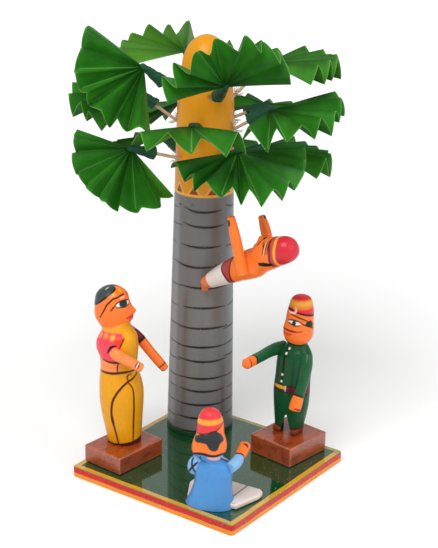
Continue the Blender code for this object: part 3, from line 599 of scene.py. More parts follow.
def arm_mesh(name, points, ground=SKIN):
    """A carved arm with a softly rounded hand, and its canvas by angle and distance from the shoulder."""
    rows = smooth_columns(points, GRAIN, 3)
    last = rows[-1]
    heading = (rows[-1, :3] - rows[-2, :3]) / np.linalg.norm(rows[-1, :3] - rows[-2, :3])
    fingertips = [[*(last[:3] + heading * advance), last[3] * share] for advance, share in HAND_ROUNDING]
    rows = np.vstack([rows, fingertips])
    along = np.gradient(rows[:, :3], axis=0)
    along /= np.linalg.norm(along, axis=1)[:, None]
    side_u = np.cross(along, (0, 1, 0))
    side_u /= np.linalg.norm(side_u, axis=1)[:, None]
    side_v = np.cross(along, side_u)
    columns = ring_columns(rows[:, 3].max())
    cosine, sine = rounded_ring(columns, ARM_ROUNDING)
    rings = (rows[:, None, :3] + side_u[:, None] * (rows[:, 3:4] * cosine)[:, :, None]
             + side_v[:, None] * (rows[:, 3:4] * sine)[:, :, None])
    travel = travelled(rows[:, :3])
    # The last two entries are the middle vertices of the two ends
    angle = np.append(np.tile(np.degrees(np.arctan2(sine, cosine)), len(rows)), [0, 0])
    distance = np.append(np.repeat(travel, columns), [0, travel[-1]])
    radius = np.append(np.repeat(rows[:, 3], columns), [1, 1])
    return ring_mesh(name, rings), Canvas(angle, distance, radius, ground), travel[-1]


class Wire:
    """A socket that takes part in sums: every step of arithmetic on it adds a math node."""

    def __init__(self, tree, socket):
        self.tree = tree
        self.socket = socket

    def step(self, operation, *values):
        """What one math node makes of wires and numbers."""
        node = self.tree.nodes.new("ShaderNodeMath")
        node.operation = operation
        for value, socket in zip(values, node.inputs):
            feed(value, socket)
        return Wire(self.tree, node.outputs[0])

    def __add__(self, other):
        return self.step("ADD", self, other)

    def __radd__(self, other):
        return self.step("ADD", other, self)

    def __sub__(self, other):
        return self.step("SUBTRACT", self, other)

    def __rsub__(self, other):
        return self.step("SUBTRACT", other, self)

    def __mul__(self, other):
        return self.step("MULTIPLY", self, other)

    def __truediv__(self, other):
        return self.step("DIVIDE", self, other)

    def __mod__(self, other):
        return self.step("MODULO", self, other)

    def __pow__(self, other):
        return self.step("POWER", self, other)

    def __abs__(self):
        return self.step("ABSOLUTE", self)

    def sine(self):
        return self.step("SINE", self)

    def cosine(self):
        return self.step("COSINE", self)

    def held(self):
        """The same sum, held between 0 and 1."""
        self.socket.node.use_clamp = True
        return self

    def mapped(self, low, high, to_low=0.0, to_high=1.0):
        """The number moved from one range to another and held inside it."""
        return wire(self.tree, "ShaderNodeMapRange", in_Value=self, in_1=low, in_2=high, in_3=to_low,
                    in_4=to_high)


def feed(value, socket):
    """Link a wire into a socket, or set a number, a vector or a colour on it."""
    if isinstance(value, Wire):
        value.tree.links.new(value.socket, socket)
    elif socket.type == "RGBA":
        socket.default_value = (*value[:3], 1)
    else:
        socket.default_value = value


def new_group(name, kind, inputs, outputs):
    """A node tree with named sockets: the tree, a wire from each input, and the node of its outputs."""
    group = bpy.data.node_groups.new(name, kind)
    for label, value in inputs.items():
        socket = group.interface.new_socket(label, in_out="INPUT", socket_type=SOCKET_KINDS[type(value)])
        if value is not None:
            socket.default_value = value
    for label, socket_kind in outputs.items():
        group.interface.new_socket(label, in_out="OUTPUT", socket_type=socket_kind)
    entry = group.nodes.new("NodeGroupInput").outputs
    wires = {label: Wire(group, entry[label]) for label in inputs}
    return group, wires, group.nodes.new("NodeGroupOutput")


def add(tree, kind, **values):
    """Add a node; a name that starts with in_ is an input, by number or name, and others are settings."""
    node = tree.nodes.new(kind)
    for key, value in values.items():
        if key.startswith("in_"):
            label = key[3:]
            feed(value, node.inputs[int(label) if label.isdigit() else label.replace("_", " ")])
        else:
            setattr(node, key, value)
    return node


def wire(tree, kind, output=0, **values):
    """Add a node and give one of its outputs."""
    return Wire(tree, add(tree, kind, **values).outputs[output])


def vector_of(tree, x, y, z):
    """A vector from its three parts."""
    return wire(tree, "ShaderNodeCombineXYZ", in_0=x, in_1=y, in_2=z)


def parts_of(tree, vector):
    """The three parts of a vector."""
    return [Wire(tree, socket) for socket in add(tree, "ShaderNodeSeparateXYZ", in_0=vector).outputs]


def mix_colour(tree, factor, first, second):
    """Mix two colours; each argument is a wire or a value."""
    return wire(tree, "ShaderNodeMix", 2, data_type="RGBA", in_0=factor, in_6=first, in_7=second)


def object_place(tree):
    """Where a point lies on the object, in metres."""
    return wire(tree, "ShaderNodeTexCoord", "Object")


def stored(tree, name, output="Fac"):
    """What the mesh keeps for each vertex under a name."""
    return wire(tree, "ShaderNodeAttribute", output, attribute_name=name)


def noise(tree, place, scale, detail=3.0, roughness=0.55):
    """Smooth noise on a vector."""
    return wire(tree, "ShaderNodeTexNoise", "Fac", in_Vector=place, in_Scale=scale, in_Detail=detail,
                in_Roughness=roughness)


def make_brushed_group():
    """Enamel laid by hand: uneven tone, brush marks and small chips."""
    group, entry, out = new_group(
        "brushed_enamel", "ShaderNodeTree",
        {"Paint": (0.5, 0.5, 0.5, 1), "Unevenness": 0.12, "Stroke size": 500.0, "Chips": 0.0,
         "Chip colour": (0.8, 0.75, 0.7, 1), "Roughness": 0.25},
        {"Color": "NodeSocketColor", "Roughness": "NodeSocketFloat", "Height": "NodeSocketFloat"})
    place = object_place(group)
    stretched = wire(group, "ShaderNodeMapping", in_Vector=place, in_Scale=(1, 1, 0.3))
    broad = noise(group, place, 60, 2)
    marks = noise(group, stretched, entry["Stroke size"], 4.0, 0.6)
    swing = (broad * 0.6 + marks * 0.4 - 0.5) * entry["Unevenness"]
    shaded = wire(group, "ShaderNodeVectorMath", operation="SCALE", in_0=entry["Paint"],
                  in_Scale=swing * 2.0 + 1.0)
    spots = noise(group, place, 950, 1, 0.4)
    chip = (spots.mapped(0.74, 0.77) * entry["Chips"]).held()
    feed(mix_colour(group, chip, shaded, entry["Chip colour"]), out.inputs["Color"])
    feed((entry["Roughness"] + (marks - 0.5) * 0.25).held(), out.inputs["Roughness"])
    feed(marks + broad * 0.8, out.inputs["Height"])
    return group


def new_material(name, metallic=0.0, coat=0.0, coat_roughness=0.1, specular=0.5):
    """A material, its node tree and the sockets of its Principled shader."""
    material = bpy.data.materials.new(name)
    material.use_nodes = True
    sockets = material.node_tree.nodes["Principled BSDF"].inputs
    sockets["Metallic"].default_value = metallic
    sockets["Coat Weight"].default_value = coat
    sockets["Coat Roughness"].default_value = coat_roughness
    sockets["Specular IOR Level"].default_value = specular
    return material, material.node_tree, sockets


def add_bump(tree, sockets, height, distance, strength):
    """Feed a height into the shader's normal."""
    feed(wire(tree, "ShaderNodeBump", in_Height=height, in_Strength=strength, in_Distance=distance),
         sockets["Normal"])


BRUSHED = make_brushed_group()


def brush_on(tree, sockets, paint, roughness, uneven, stroke, chips, depth, strength):
    """Finish a material with a paint that is laid by hand."""
    brushed = add(tree, "ShaderNodeGroup", node_tree=BRUSHED, in_Paint=paint, in_Unevenness=uneven,
                  in_Stroke_size=stroke, in_Chips=chips, in_Chip_colour=WHITE,
                  in_Roughness=roughness).outputs
    feed(Wire(tree, brushed["Color"]), sockets["Base Color"])
    feed(Wire(tree, brushed["Roughness"]), sockets["Roughness"])
    add_bump(tree, sockets, Wire(tree, brushed["Height"]), depth, strength)


def make_enamel(name, roughness=0.3, coat=0.1, uneven=0.12, chips=0.0, stroke=500.0):
    """Gloss enamel in the colours brushed on the piece."""
    material, tree, sockets = new_material(name, coat=coat, coat_roughness=0.12, specular=0.18)
    paint = stored(tree, "paint", "Color")
    brush_on(tree, sockets, paint, roughness, uneven, stroke, chips, 0.00025, 0.35)
    return material


def make_board_paint(name, coat, coat_ior, roughness):
    """Dark green gloss with a yellow border, red and yellow sides, all brushed by hand."""
    material, tree, sockets = new_material(name, coat=coat, coat_roughness=0.04, specular=0.3)
    sockets["Coat IOR"].default_value = coat_ior
    sockets["Specular Tint"].default_value = (0.6, 1.0, 0.85, 1)
    place = object_place(tree)
    x, y, z = parts_of(tree, place)
    stray = (noise(tree, place, 45.0, 2.0, 0.5) - 0.5) * (BRUSH_STRAY * MM)
    edge = BOARD_SIDE / 2 * MM - x.step("MAXIMUM", abs(x), abs(y)) + stray
    border = edge.mapped((BORDER_WIDTH - 0.3) * MM, BORDER_WIDTH * MM, 1, 0)
    rim = edge.mapped((RIM_WIDTH - 0.2) * MM, RIM_WIDTH * MM, 1, 0)
    lower = (z + stray).mapped((SIDE_SPLIT - 0.4) * MM, SIDE_SPLIT * MM, 1, 0)
    on_top = z.mapped((BOARD_THICKNESS - 0.5) * MM, (BOARD_THICKNESS - 0.3) * MM)
    yellow = mix_colour(tree, x.mapped(0.066, 0.070), tint("d4a222"), tint("9c9428"))
    top = mix_colour(tree, border, tint("083e1a"), yellow)
    top = mix_colour(tree, rim, top, tint("8a7c22"))
    side = mix_colour(tree, lower, tint("c21620"), tint("e68c14"))
    paint = mix_colour(tree, on_top, side, top)
    brush_on(tree, sockets, paint, roughness, 0.25, 260.0, 0.8, 0.0002, 0.25)
    return material


def make_varnish():
    """Red-brown varnish on wood, rubbed lighter along its edges."""
    material, tree, sockets = new_material("block_varnish", coat=0.8, coat_roughness=0.1)
    place = object_place(tree)
    along_grain = wire(tree, "ShaderNodeMapping", in_Vector=place, in_Scale=(0.35, 1, 1))
    fine = noise(tree, place, 900, 3, 0.6)
    tone = noise(tree, along_grain, 170, 5, 0.65) * 0.75 + fine * 0.25
    rubbed = (stored(tree, "edge") * fine.mapped(0.35, 0.6)).held()
    colour = mix_colour(tree, tone.mapped(0.34, 0.62), tint("76280e"), tint("a8461a"))
    feed(mix_colour(tree, rubbed, colour, tint("cc7a50")), sockets["Base Color"])
    feed(tone.mapped(0.3, 0.7, 0.2, 0.42), sockets["Roughness"])
    add_bump(tree, sockets, tone, 0.0003, 0.2)
    return material


def make_paper():
    """Green crepe paper: painted shade in folds and near the root, painted highlights on creases, paler cut
    rim.
    """
    material, tree, sockets = new_material("leaf_paper", specular=0.16)
    place = object_place(tree)
    fibre = noise(tree, place, 1400, 2, 0.7)
    fold, reach, ripe = (stored(tree, name) for name in ("fold", "reach", "ripe"))
    colour = mix_colour(tree, noise(tree, place, 55, 3).mapped(0.3, 0.7), tint("1d6410"), tint("2f8018"))
    for mask, code in ((ripe, "5f8e1c"),                                       # turned yellow
                       (fibre.mapped(0.4, 0.75, 0.0, 0.2), "4f9a38"),          # pale fibres
                       (reach.mapped(0.0, 0.5, 0.75, 0.0), "0a3206"),          # shade near the root
                       (fold.mapped(0.0, 0.9, 0.0, 0.3), "48963a"),            # painted highlight on the ridges
                       (fold.mapped(-0.1, -1.0, 0.0, 0.65), "0a3806"),         # shade in the folds
                       (fold.mapped(0.82, 0.98, 0.0, 0.8), "80b868"),          # painted highlight line along a crease
                       (reach.mapped(0.984, 1.0, 0.0, 0.6), "78b05c"),         # paler cut rim: the paper's cut edge, with a painted highlight along it
                       (reach.mapped(-0.5, -0.9, 0.0, 0.85), "1b4a34")):       # wound round the stick
        colour = mix_colour(tree, mask, colour, tint(code))
    feed(colour, sockets["Base Color"])
    sockets["Roughness"].default_value = 0.5
    add_bump(tree, sockets, fibre, 0.0001, 0.3)
    return material


def make_bamboo():
    """Split bamboo: pale, with fine fibres along the stick."""
    material, tree, sockets = new_material("bamboo", specular=0.3)
    fibre = noise(tree, stored(tree, "grain", "Vector"), 1.0, 3, 0.6)
    feed(mix_colour(tree, fibre.mapped(0.3, 0.7), tint("a07860"), tint("dcc2a4")), sockets["Base Color"])
    sockets["Roughness"].default_value = 0.6
    add_bump(tree, sockets, fibre, 0.0003, 0.5)
    return material


def make_clouded(name, scale, detail, first, second, roughness, metallic=0.0):
    """A plain finish whose colour clouds between two tones."""
    material, tree, sockets = new_material(name, metallic=metallic)
    feed(mix_colour(tree, noise(tree, object_place(tree), scale, detail), tint(first), tint(second)),
         sockets["Base Color"])
    sockets["Roughness"].default_value = roughness
    return material


PAINTED = make_enamel("figure_enamel")
POST_PAINT = make_enamel("post_enamel", roughness=0.36, coat=0.12, uneven=0.1, chips=0.2, stroke=700.0)
BOARD_PAINT = make_board_paint("board_top_enamel", 1.0, 1.75, 0.12)
BOARD_SIDE_PAINT = make_board_paint("board_side_enamel", 0.1, 1.5, 0.3)
VARNISH = make_varnish()
PAPER_LEAF = make_paper()
BAMBOO = make_bamboo()
STEEL = make_clouded("steel", 800, 3, "8c8c8e", "b4b4b6", 0.4, metallic=1.0)
WOOD = make_clouded("plain_wood", 300, 4, "9a7450", "c8a47c", 0.6)
FIBRE = make_clouded("glue_fibre", 900, 2, "b8a898", "e6dcd0", 0.7)


def standing(place, foot_height):
    """Matrix of a figure on its foot centre."""
    x, y, azimuth = place
    turn = Matrix.Rotation(math.radians(azimuth), 4, "Z")
    return Matrix.Translation((x * MM, y * MM, foot_height * MM)) @ turn


def add_painted(figure, part, mesh, canvas, place, body="base"):
    """A painted part of a figure, in the place of its solid."""
    canvas.finish(mesh)
    add_piece(figure + "_painted_" + part, mesh, body, PAINTED, [figure + "_" + part], place)


def paint_eye(canvas, top, bottom, iris, iris_radius, iris_colour, corners):
    """An almond eye: white, a wide iris and dark outline."""
    outline = top + bottom[::-1]
    canvas.patch(outline, WHITE)
    if len(iris) > 1:
        canvas.stroke(iris, iris_radius * 2, iris_colour, 0.1)
    else:
        canvas.dot(iris[0], iris_radius, iris_colour)
    for corner in corners:
        canvas.dot(corner, 0.6, WHITE)
    canvas.stroke(top, 1.3, BLACK, 0.4)
    canvas.stroke(bottom, 1.1, BLACK, 0.4)


def dress_woman():
    """The woman: slate hair, orange skin, pink blouse and a mustard sari with brushed folds."""
    place = standing(WOMAN_PLACE, BOARD_THICKNESS + WOMAN_BLOCK[4] + SEAT_GAP)
    mesh = carved_mesh("woman_body", WOMAN_SECTIONS, WOMAN_NOSE)
    canvas = figure_canvas(mesh, WOMAN_SECTIONS, MUSTARD)
    waist = [(-157, 58.8), (-123, 59.6), (-98, 59.9), (-72, 60.7), (-29, 60.7), (0, 60), (60, 60),
             (120, 60)]
    blouse = [(-134, 69.8), (-107, 68.7), (-75, 69.1), (-30, 69), (30, 69), (90, 69.5), (150, 70)]
    neck_low = [(-155, 91.1), (-103, 91.2), (-67, 91.1), (0, 90), (90, 91), (150, 91)]
    neck_high = [(-138, 94.2), (-88, 96.0), (-44, 98.8), (0, 98), (80, 96), (140, 94.5)]
    canvas.band(waist, 130, SKIN_LIGHT)
    canvas.band(blouse, neck_low, PINK)
    canvas.band(neck_low, neck_high, SAFFRON, 1.0)
    canvas.band(neck_high, 130, SKIN, 1.2)
    drape = [(-40, 98.5), (-57, 94.9), (-63, 91.0), (-63, 87.1), (-71, 81.9), (-76, 75), (-74, 69),
             (-80, 60.5), (-20, 60.5), (20, 63), (34, 72), (38, 84), (30, 92), (0, 97)]
    canvas.patch(drape, MUSTARD, 0.8)
    canvas.stroke([(-60, 87.6), (-69, 84.4), (-74, 80.8)], 1.5, UMBER)
    canvas.stroke([(-5, 98), (15, 92), (28, 84)], 1.4, BLACK)
    canvas.stroke([(-82, 68.8), (-85, 65.5), (-85, 60.6)], 1.2, UMBER)
    canvas.stroke(blouse[:4], 2.0, UMBER, 0.5)
    canvas.stroke([(150, 70), (90, 69.5), (40, 69)], 2.0, UMBER, 0.5)
    for angle, height, radius, colour in (
            (-127, 88.5, 2.1, SKIN_LIGHT), (-100, 88.0, 2.1, SAFFRON), (-80, 86.0, 3.0, SCARLET),
            (-152, 87.6, 2.1, SKIN_LIGHT), (127, 88, 2.1, SAFFRON), (100, 87.5, 2.1, SKIN_LIGHT),
            (76, 86.5, 3.0, SCARLET)):
        canvas.dot((angle, height), radius, colour, 1.6)
    for turn in (list, mirrored):
        canvas.stroke(turn([(-109, 76.4), (-101, 80.7), (-85, 82.7)]), 2.0, BLACK)
    canvas.stroke(waist[:5], 2.1, UMBER, 0.45)
    canvas.stroke([(-29, 60.7), (0, 60), (60, 60), (120, 60), (-157, 58.8)], 2.0, UMBER, 0.3)
    fold = [(-13, 57.5), (-38, 55.1), (-58, 53.3), (-81, 48.3), (-95, 43.3), (-106, 36.3), (-110, 28.6),
            (-111, 22.8), (-106, 15.2), (-102, 7.4), (-99, 1.1)]
    inner = [(-57, 52.6), (-48, 46.9), (-48, 40.5), (-48, 30.4), (-50, 16), (-52, 3.3)]
    for line, width in ((fold, 1.9), (inner, 1.6), ([(-110, 27.7), (-105, 18.4)], 1.2),
                        ([(-42, 58.6), (-51, 58.4), (-58, 56.4), (-57, 53.6)], 1.1)):
        canvas.stroke(line, width, UMBER, 0.35)
    canvas.stroke(mirrored(fold), 1.9, UMBER, 0.35)
    canvas.stroke([(150, 56), (152, 30), (148, 4)], 1.6, UMBER, 0.4)
    canvas.stroke([(178, 57), (182, 34), (180, 4)], 1.5, UMBER, 0.4)
    canvas.band(-1, [(-180, 1.2), (-140, 1.2), (-97, 1.6), (-73, 2.6), (-49, 3.6), (-20, 4.4), (30, 3.4),
                     (100, 1.6)], UMBER, 0.7)
    hair = [(-140, 113.3), (-123, 116), (-107, 119), (-91, 121.5), (-72, 123.3), (-56, 124.6),
            (0, 124.9), (56, 124.6), (72, 123.3), (91, 121.5), (107, 119), (123, 116), (140, 113.3),
            (180, 110)]
    canvas.dot((-75, 121.9), 1.4, SAFFRON, 1.4)
    canvas.dot((-26, 123.0), 1.4, SAFFRON, 1.4)
    canvas.band(hair, 130, SLATE)
    hair_edge = [(180, 110), (140, 113.2), (123, 115.9), (107, 118.9), (91, 121.4), (72, 123.2),
                 (56, 124.5)]
    canvas.stroke(mirrored(hair_edge), 1.4, BLACK, 0.4)
    canvas.stroke(hair_edge, 1.4, BLACK, 0.4)
    canvas.dot((-129, 124.2), 0.6, tint("e4cc70"), 0.5)
    canvas.dot((4, 119.3), 1.8, tint("e0402c"), 0.9)
    brow = [(-127, 103.2), (-108, 110.5), (-99, 114.2), (-87, 116.7), (-77, 118.6), (-63, 119.3),
            (-49, 120.2), (-26, 120.8)]
    eye_top = [(-71, 113.9), (-62, 115.7), (-53, 116.4), (-37, 116.7), (-11, 115.7)]
    eye_low = [(-70, 113.4), (-62, 112.1), (-53, 112.2), (-38, 111.9), (-27, 112.3), (-12, 112.9)]
    tail = [(-70, 113.7), (-80, 111.5), (-88, 109.2)]
    mouth = [(-32, 102.5), (-20, 102.9), (-8, 103.2), (0, 103.1)]
    for turn in (list, mirrored):
        canvas.stroke(turn(brow), 1.3, tint("2c120a"), 0.35)
        canvas.stroke(turn([(-49, 118.9), (-28, 119.2)]), 0.9, ROSE)
        paint_eye(canvas, turn(eye_top), turn(eye_low), turn([(-48, 114.4), (-31, 114.4)]), 2.1,
                  tint("202a2e"), turn([(-63, 114.2), (-19, 114.5)]))
        canvas.stroke(turn(tail), 1.2, UMBER)
        canvas.stroke(turn(mouth), 2.4, tint("e01c20"), 0.5)
        canvas.stroke(turn([(-24, 101.0), (-6, 101.2)]), 1.6, PINK, 0.5, 0.9)
    add_painted("woman", "body", mesh, canvas, place)

    mesh, canvas, length = arm_mesh("woman_right_arm", WOMAN_RIGHT_ARM, SKIN_LIGHT)
    for back, colour, width in ((5.9, tint("34343c"), 1.4), (4.9, WHITE, 1.2), (3.9, MAROON, 1.3)):
        canvas.stroke([(26, length - back), (60, length - back), (98, length - back)], width, colour, 0.6)
    add_painted("woman", "right_arm", mesh, canvas, place)

    mesh, canvas, length = arm_mesh("woman_left_arm", WOMAN_LEFT_ARM)
    canvas.band(-1, 5.0, PINK, 0.7)
    canvas.band(5.0, 13.5, MAROON, 0.7)
    canvas.band(13.0, 15.6, BLACK, 0.6)
    canvas.stroke([(-30, 4), (-34, 20), (-30, length - 4)], 1.2, UMBER, 0.2)
    canvas.band(length - 5.4, length - 4.4, UMBER, 0.5)
    add_painted("woman", "left_arm", mesh, canvas, place)


def dress_policeman():
    """The policeman: banded cap, bottle-green tunic with buttons and belt, brown boots."""
    place = standing(POLICEMAN_PLACE, BOARD_THICKNESS + POLICEMAN_BLOCK[4] + SEAT_GAP)
    body = carved_mesh("policeman_body", POLICEMAN_SECTIONS, POLICEMAN_NOSE)
    outline = [(across, -1) for across in LEG_NOTCH_BOTTOM]
    outline += [(across, LEG_NOTCH_HEIGHT) for across in LEG_NOTCH_TOP]
    notch = hull_mesh([(depth, across, height) for depth in (-LEG_NOTCH_REACH, LEG_NOTCH_REACH)
                       for across, height in outline])
    notch.transform(Matrix.Rotation(math.radians(LEG_NOTCH_TURN), 4, "Z"))
    toes = [soft_box_mesh((1, middle - TOE_HALF_WIDTH, 0),
                          (TOE_REACH, middle + TOE_HALF_WIDTH, TOE_HEIGHT), TOE_ROUNDING, 0.7)
            for middle in (-TOE_OFFSET, TOE_OFFSET)]
    mesh = shaped(shaped(body, toes, "UNION"), [notch], "DIFFERENCE")
    mesh.name = "policeman_body"
    canvas = figure_canvas(mesh, POLICEMAN_SECTIONS, BOTTLE)
    canvas.band(-1, 5.0, BOOT, 0.6)
    canvas.band(4.6, 5.4, BLACK, 0.6)
    collar = [(-60, 75.6), (-10, 75.2), (39, 74.2), (86, 75.0), (180, 75.4)]
    canvas.band(collar, 120, SKIN)
    canvas.stroke([(-170, 75.4), (-60, 75.6), (-10, 75.2), (39, 74.0), (86, 75.0), (170, 75.4)], 1.5,
                  BLACK, 0.2)
    cap = [(-170, 99.4), (-100, 101.4), (-60, 102.6), (-34, 102.7), (-6, 102.5), (15, 101.6),
           (38, 100.7), (75, 99), (110, 97.6), (150, 98)]
    canvas.band(cap, 120, RED)
    canvas.band(103.8, 110.2, tint("de7e34"), 1.4)
    canvas.band(106.4, 109.4, tint("e0a43c"), 1.4)
    canvas.stroke([(-34, 102.7), (-20, 102.7), (-6, 102.4)], 2.0, BLACK, 0.3)
    canvas.stroke([(15, 101.4), (38, 100.5), (75, 99), (110, 97.6), (150, 98.0), (-170, 99.4)], 1.8,
                  BLACK, 0.3)
    canvas.stroke([(-170, 99.4), (-100, 101.4), (-60, 102.5), (-40, 102.7)], 1.8, BLACK, 0.3)
    canvas.stroke([(5, 105.0), (10, 102.6), (4, 100.4)], 1.6, ROSE, 0.3)
    canvas.stroke([(2, 100.6), (-14, 100.4), (-28, 100.8)], 1.1, WHITE, 0.4)
    brow = [(-16, 99.4), (12, 98.6), (40, 96.9), (66, 94.6)]
    eye_top = [(-23, 94.2), (8, 95.2), (31, 94.3), (41, 93.2)]
    eye_low = [(-22, 92.7), (-3, 91.8), (17, 91.1), (35, 91.8)]
    for turn in (list, lambda points: mirrored(points, POLICEMAN_FACE)):
        canvas.stroke(turn(brow), 1.3, UMBER, 0.4)
        paint_eye(canvas, turn(eye_top), turn(eye_low), turn([(8, 93.0)]), 1.7, tint("16302a"),
                  turn([(-6, 92.9), (26, 92.8)]))
        canvas.stroke(turn([(39, 93.2), (64, 91), (86, 89), (108, 87.1)]), 1.3, BLACK, 0.4)
        canvas.stroke(turn([(69, 92.6), (80, 92.1), (92, 90.8)]), 5.2, BLACK, 0.3)
        canvas.stroke(turn([(-32, 87.1), (-11, 86.5), (5, 86.4), (25, 86.4)]), 1.7, tint("7a160e"), 0.4)
        canvas.stroke(turn([(25, 86.4), (36, 86.6), (46, 87.2)]), 1.1, tint("a0481e"), 0.4)
        canvas.stroke(turn([(-32, 83.2), (-14, 83.2), (4, 84.0)]), 2.2, tint("de3a24"), 0.5, 1.0)
    canvas.stroke([(-24, 70.4), (-18, 65.8), (-15, 57), (-15, 48), (-16, 41.3)], 1.7, BLACK, 0.2)
    for button in ((-12, 70.4), (-15, 66.6), (-17, 49.2), (-17, 43.6)):
        canvas.dot(button, 1.5, BLACK)
        canvas.dot(button, 1.0, WHITE, 0.4)
    belt_top = [(-150, 41), (-90, 40.2), (-53, 40.0), (-19, 41), (11, 41.4), (36, 41.4), (84, 41.2),
                (150, 41)]
    belt_low = [(-150, 36), (-90, 35.6), (-46, 35.6), (-15, 35.9), (14, 35.9), (36, 35.3), (84, 34.0),
                (150, 35)]
    canvas.band(belt_low, belt_top, tint("5c1420"))
    canvas.stroke(belt_top, 0.9, BLACK, 0.1)
    canvas.stroke(belt_low, 0.9, BLACK, 0.1)
    canvas.stroke([(-46, 38.6), (-22, 38.9), (2, 39.0)], 2.8, tint("d8a62c"), 0.2)
    canvas.stroke([(4, 40.8), (6, 38.6), (5, 36.6)], 0.9, tint("e4dcd4"), 0.3)
    add_painted("policeman", "body", mesh, canvas, place)
    for side, points, cuff in (("right", POLICEMAN_RIGHT_ARM, 10.4), ("left", POLICEMAN_LEFT_ARM, 12.0)):
        mesh, canvas, length = arm_mesh("policeman_" + side + "_arm", points, tint("1c5632"))
        canvas.band(length - cuff, length + 2, SKIN)
        canvas.band(length - cuff - 0.9, length - cuff + 0.7, BLACK, 0.5)
        canvas.stroke([(-150, length - 2.4), (-90, length - 1.8), (-30, length - 2.4)], 1.5,
                      tint("8e1c10"), 0.3)
        add_painted("policeman", side + "_arm", mesh, canvas, place)


def dress_seated_man():
    """The seated man: cap, black hair, sky-blue shirt and crossed legs in white cloth."""
    place = standing(SEATED_PLACE, BOARD_THICKNESS + SEAT_GAP)
    mesh = carved_mesh("seated_man_body", SEATED_SECTIONS, SEATED_NOSE)
    canvas = figure_canvas(mesh, SEATED_SECTIONS, SKY)
    collar = [(0, 40.5), (90, 40.5), (140, 43.5), (179, 44.7), (-162, 43.8), (-146, 43.4), (-126, 43.8),
              (-90, 42.5), (-45, 40.5)]
    canvas.band(collar, 90, SKIN)
    canvas.patch([(-172, 40.4), (-150, 38.6), (-120, 38.6), (-114, 41.8), (-150, 42.4), (-170, 42.4)],
                 ROSE, 1.4)
    canvas.stroke([(130, 41.6), (150, 43.8), (179, 44.7), (-162, 43.8), (-146, 43.4), (-126, 43.8),
                   (-102, 43)], 2.3, BLACK, 0.35)
    canvas.stroke([(122, 41), (144, 38.0), (168, 36.6)], 1.4, BLACK, 0.4)
    canvas.stroke([(128, 35), (146, 38.4), (164, 42)], 1.4, BLACK, 0.4)
    hair_low = [(110, 53.4), (136, 51.7), (164, 52.5), (-173, 51.2), (-166, 49.1), (-153, 47.5),
                (-136, 48.5), (-129, 51.0), (-103, 53.0), (-95, 54.1), (-60, 57), (0, 58.5), (60, 57)]
    hair_top = [(110, 54.8), (155, 58.7), (-175, 59.7), (-165, 61.3), (-147, 62.6), (-128, 60.4),
                (-109, 57.6), (-97, 54.4), (-60, 57.2), (0, 58.7), (60, 57.2)]
    cap_low = [(124, 57.9), (155, 58.8), (-179, 59.9), (-158, 61.5), (-135, 62.4), (-113, 64.4),
               (-85, 65.7), (-40, 64), (0, 63), (60, 60)]
    canvas.band(hair_low, hair_top, tint("2e3236"))
    canvas.band(cap_low, 90, tint("e23a40"))
    canvas.stroke([(124, 57.8), (155, 58.7), (-179, 59.8), (-158, 61.4), (-135, 62.3), (-113, 64.3),
                   (-85, 65.6)], 0.8, BLACK, 0.3)
    canvas.band([(120, 65.4), (180, 66.0), (-150, 66.4), (-82, 66.8), (0, 66)],
                [(120, 68.8), (180, 69.6), (-150, 69.8), (-82, 69.4), (0, 69)], tint("eca23c"), 1.1)
    for turn in (list, mirrored):
        canvas.stroke(turn([(10, 56.6), (30, 57.4), (52, 56.2)]), 1.1, UMBER)
        paint_eye(canvas, turn([(12, 53.6), (28, 54.8), (46, 53.6)]),
                  turn([(12, 53.2), (28, 52.0), (46, 53.4)]), turn([(28, 53.4)]), 1.1, tint("1c2420"),
                  turn([(18, 53.4), (39, 53.4)]))
    canvas.stroke([(-22, 44.6), (0, 43.8), (22, 44.6)], 1.6, RED, 0.4)
    for turn in (list, mirrored):
        canvas.stroke(turn([(-109, 39.0), (-88, 35.9), (-80, 33.0), (-88, 29.8)]), 1.2, BLACK, 0.4)
        canvas.stroke(turn([(-114, 41.4), (-92, 38.4), (-69, 35.4)]), 1.0, WHITE, 0.4)
    add_painted("seated_man", "body", mesh, canvas, place)

    for side, points, sleeve in (("right", SEATED_RIGHT_ARM, 0.46), ("left", SEATED_LEFT_ARM, 0.76)):
        mesh, canvas, length = arm_mesh("seated_man_" + side + "_arm", points, tint("7fb0dc"))
        cuff = length * sleeve
        canvas.band(cuff, length + 2, SKIN)
        canvas.band(cuff - 0.8, cuff + 0.8, BLACK, 0.5)
        if side == "right":
            canvas.stroke([(120, length - 3.4), (150, length - 3), (180, length - 2.4),
                           (-150, length - 3.4)], 1.8, tint("5a1018"), 0.3)
            canvas.stroke([(150, 1), (160, cuff * 0.5), (165, cuff - 1)], 1.0, BLACK, 0.3)
            canvas.stroke([(4, length - 4.2), (24, length - 4.6), (46, length - 5.8)], 2.3,
                          tint("4a1018"), 0.3)
        else:
            for start in (0, 90, 180, 270):
                canvas.stroke([(start - 32, 3), (start + 32, 11)], 1.6, BLACK, 0.3)
                canvas.stroke([(start - 32, 11), (start + 32, 3)], 1.6, BLACK, 0.3)
        add_painted("seated_man", side + "_arm", mesh, canvas, place)

    mesh = legs_mesh()
    points = read_points(mesh)
    # The legs lie flat, so their folds are placed by x and y instead of by angle and height
    canvas = Canvas(points[:, 0], points[:, 1], points[:, 2], CLOTH)
    for start, end, width in (((27.5, -21.5), (7, -15.2), 1.2), ((7, -15.2), (-4.7, -15.4), 1.2),
                              ((24, 14), (9, 12), 1.0)):
        run = np.subtract(end, start)
        offset = points[:, :2] - start
        t = np.clip(offset @ run / (run @ run), 0, 1)
        distance = np.linalg.norm(offset - t[:, None] * run, axis=1)
        canvas.cover(feathered(width / 2 - distance, 0.6) * (points[:, 2] > 3), tint("6e6462"))
    add_painted("seated_man", "legs", mesh, canvas, place)


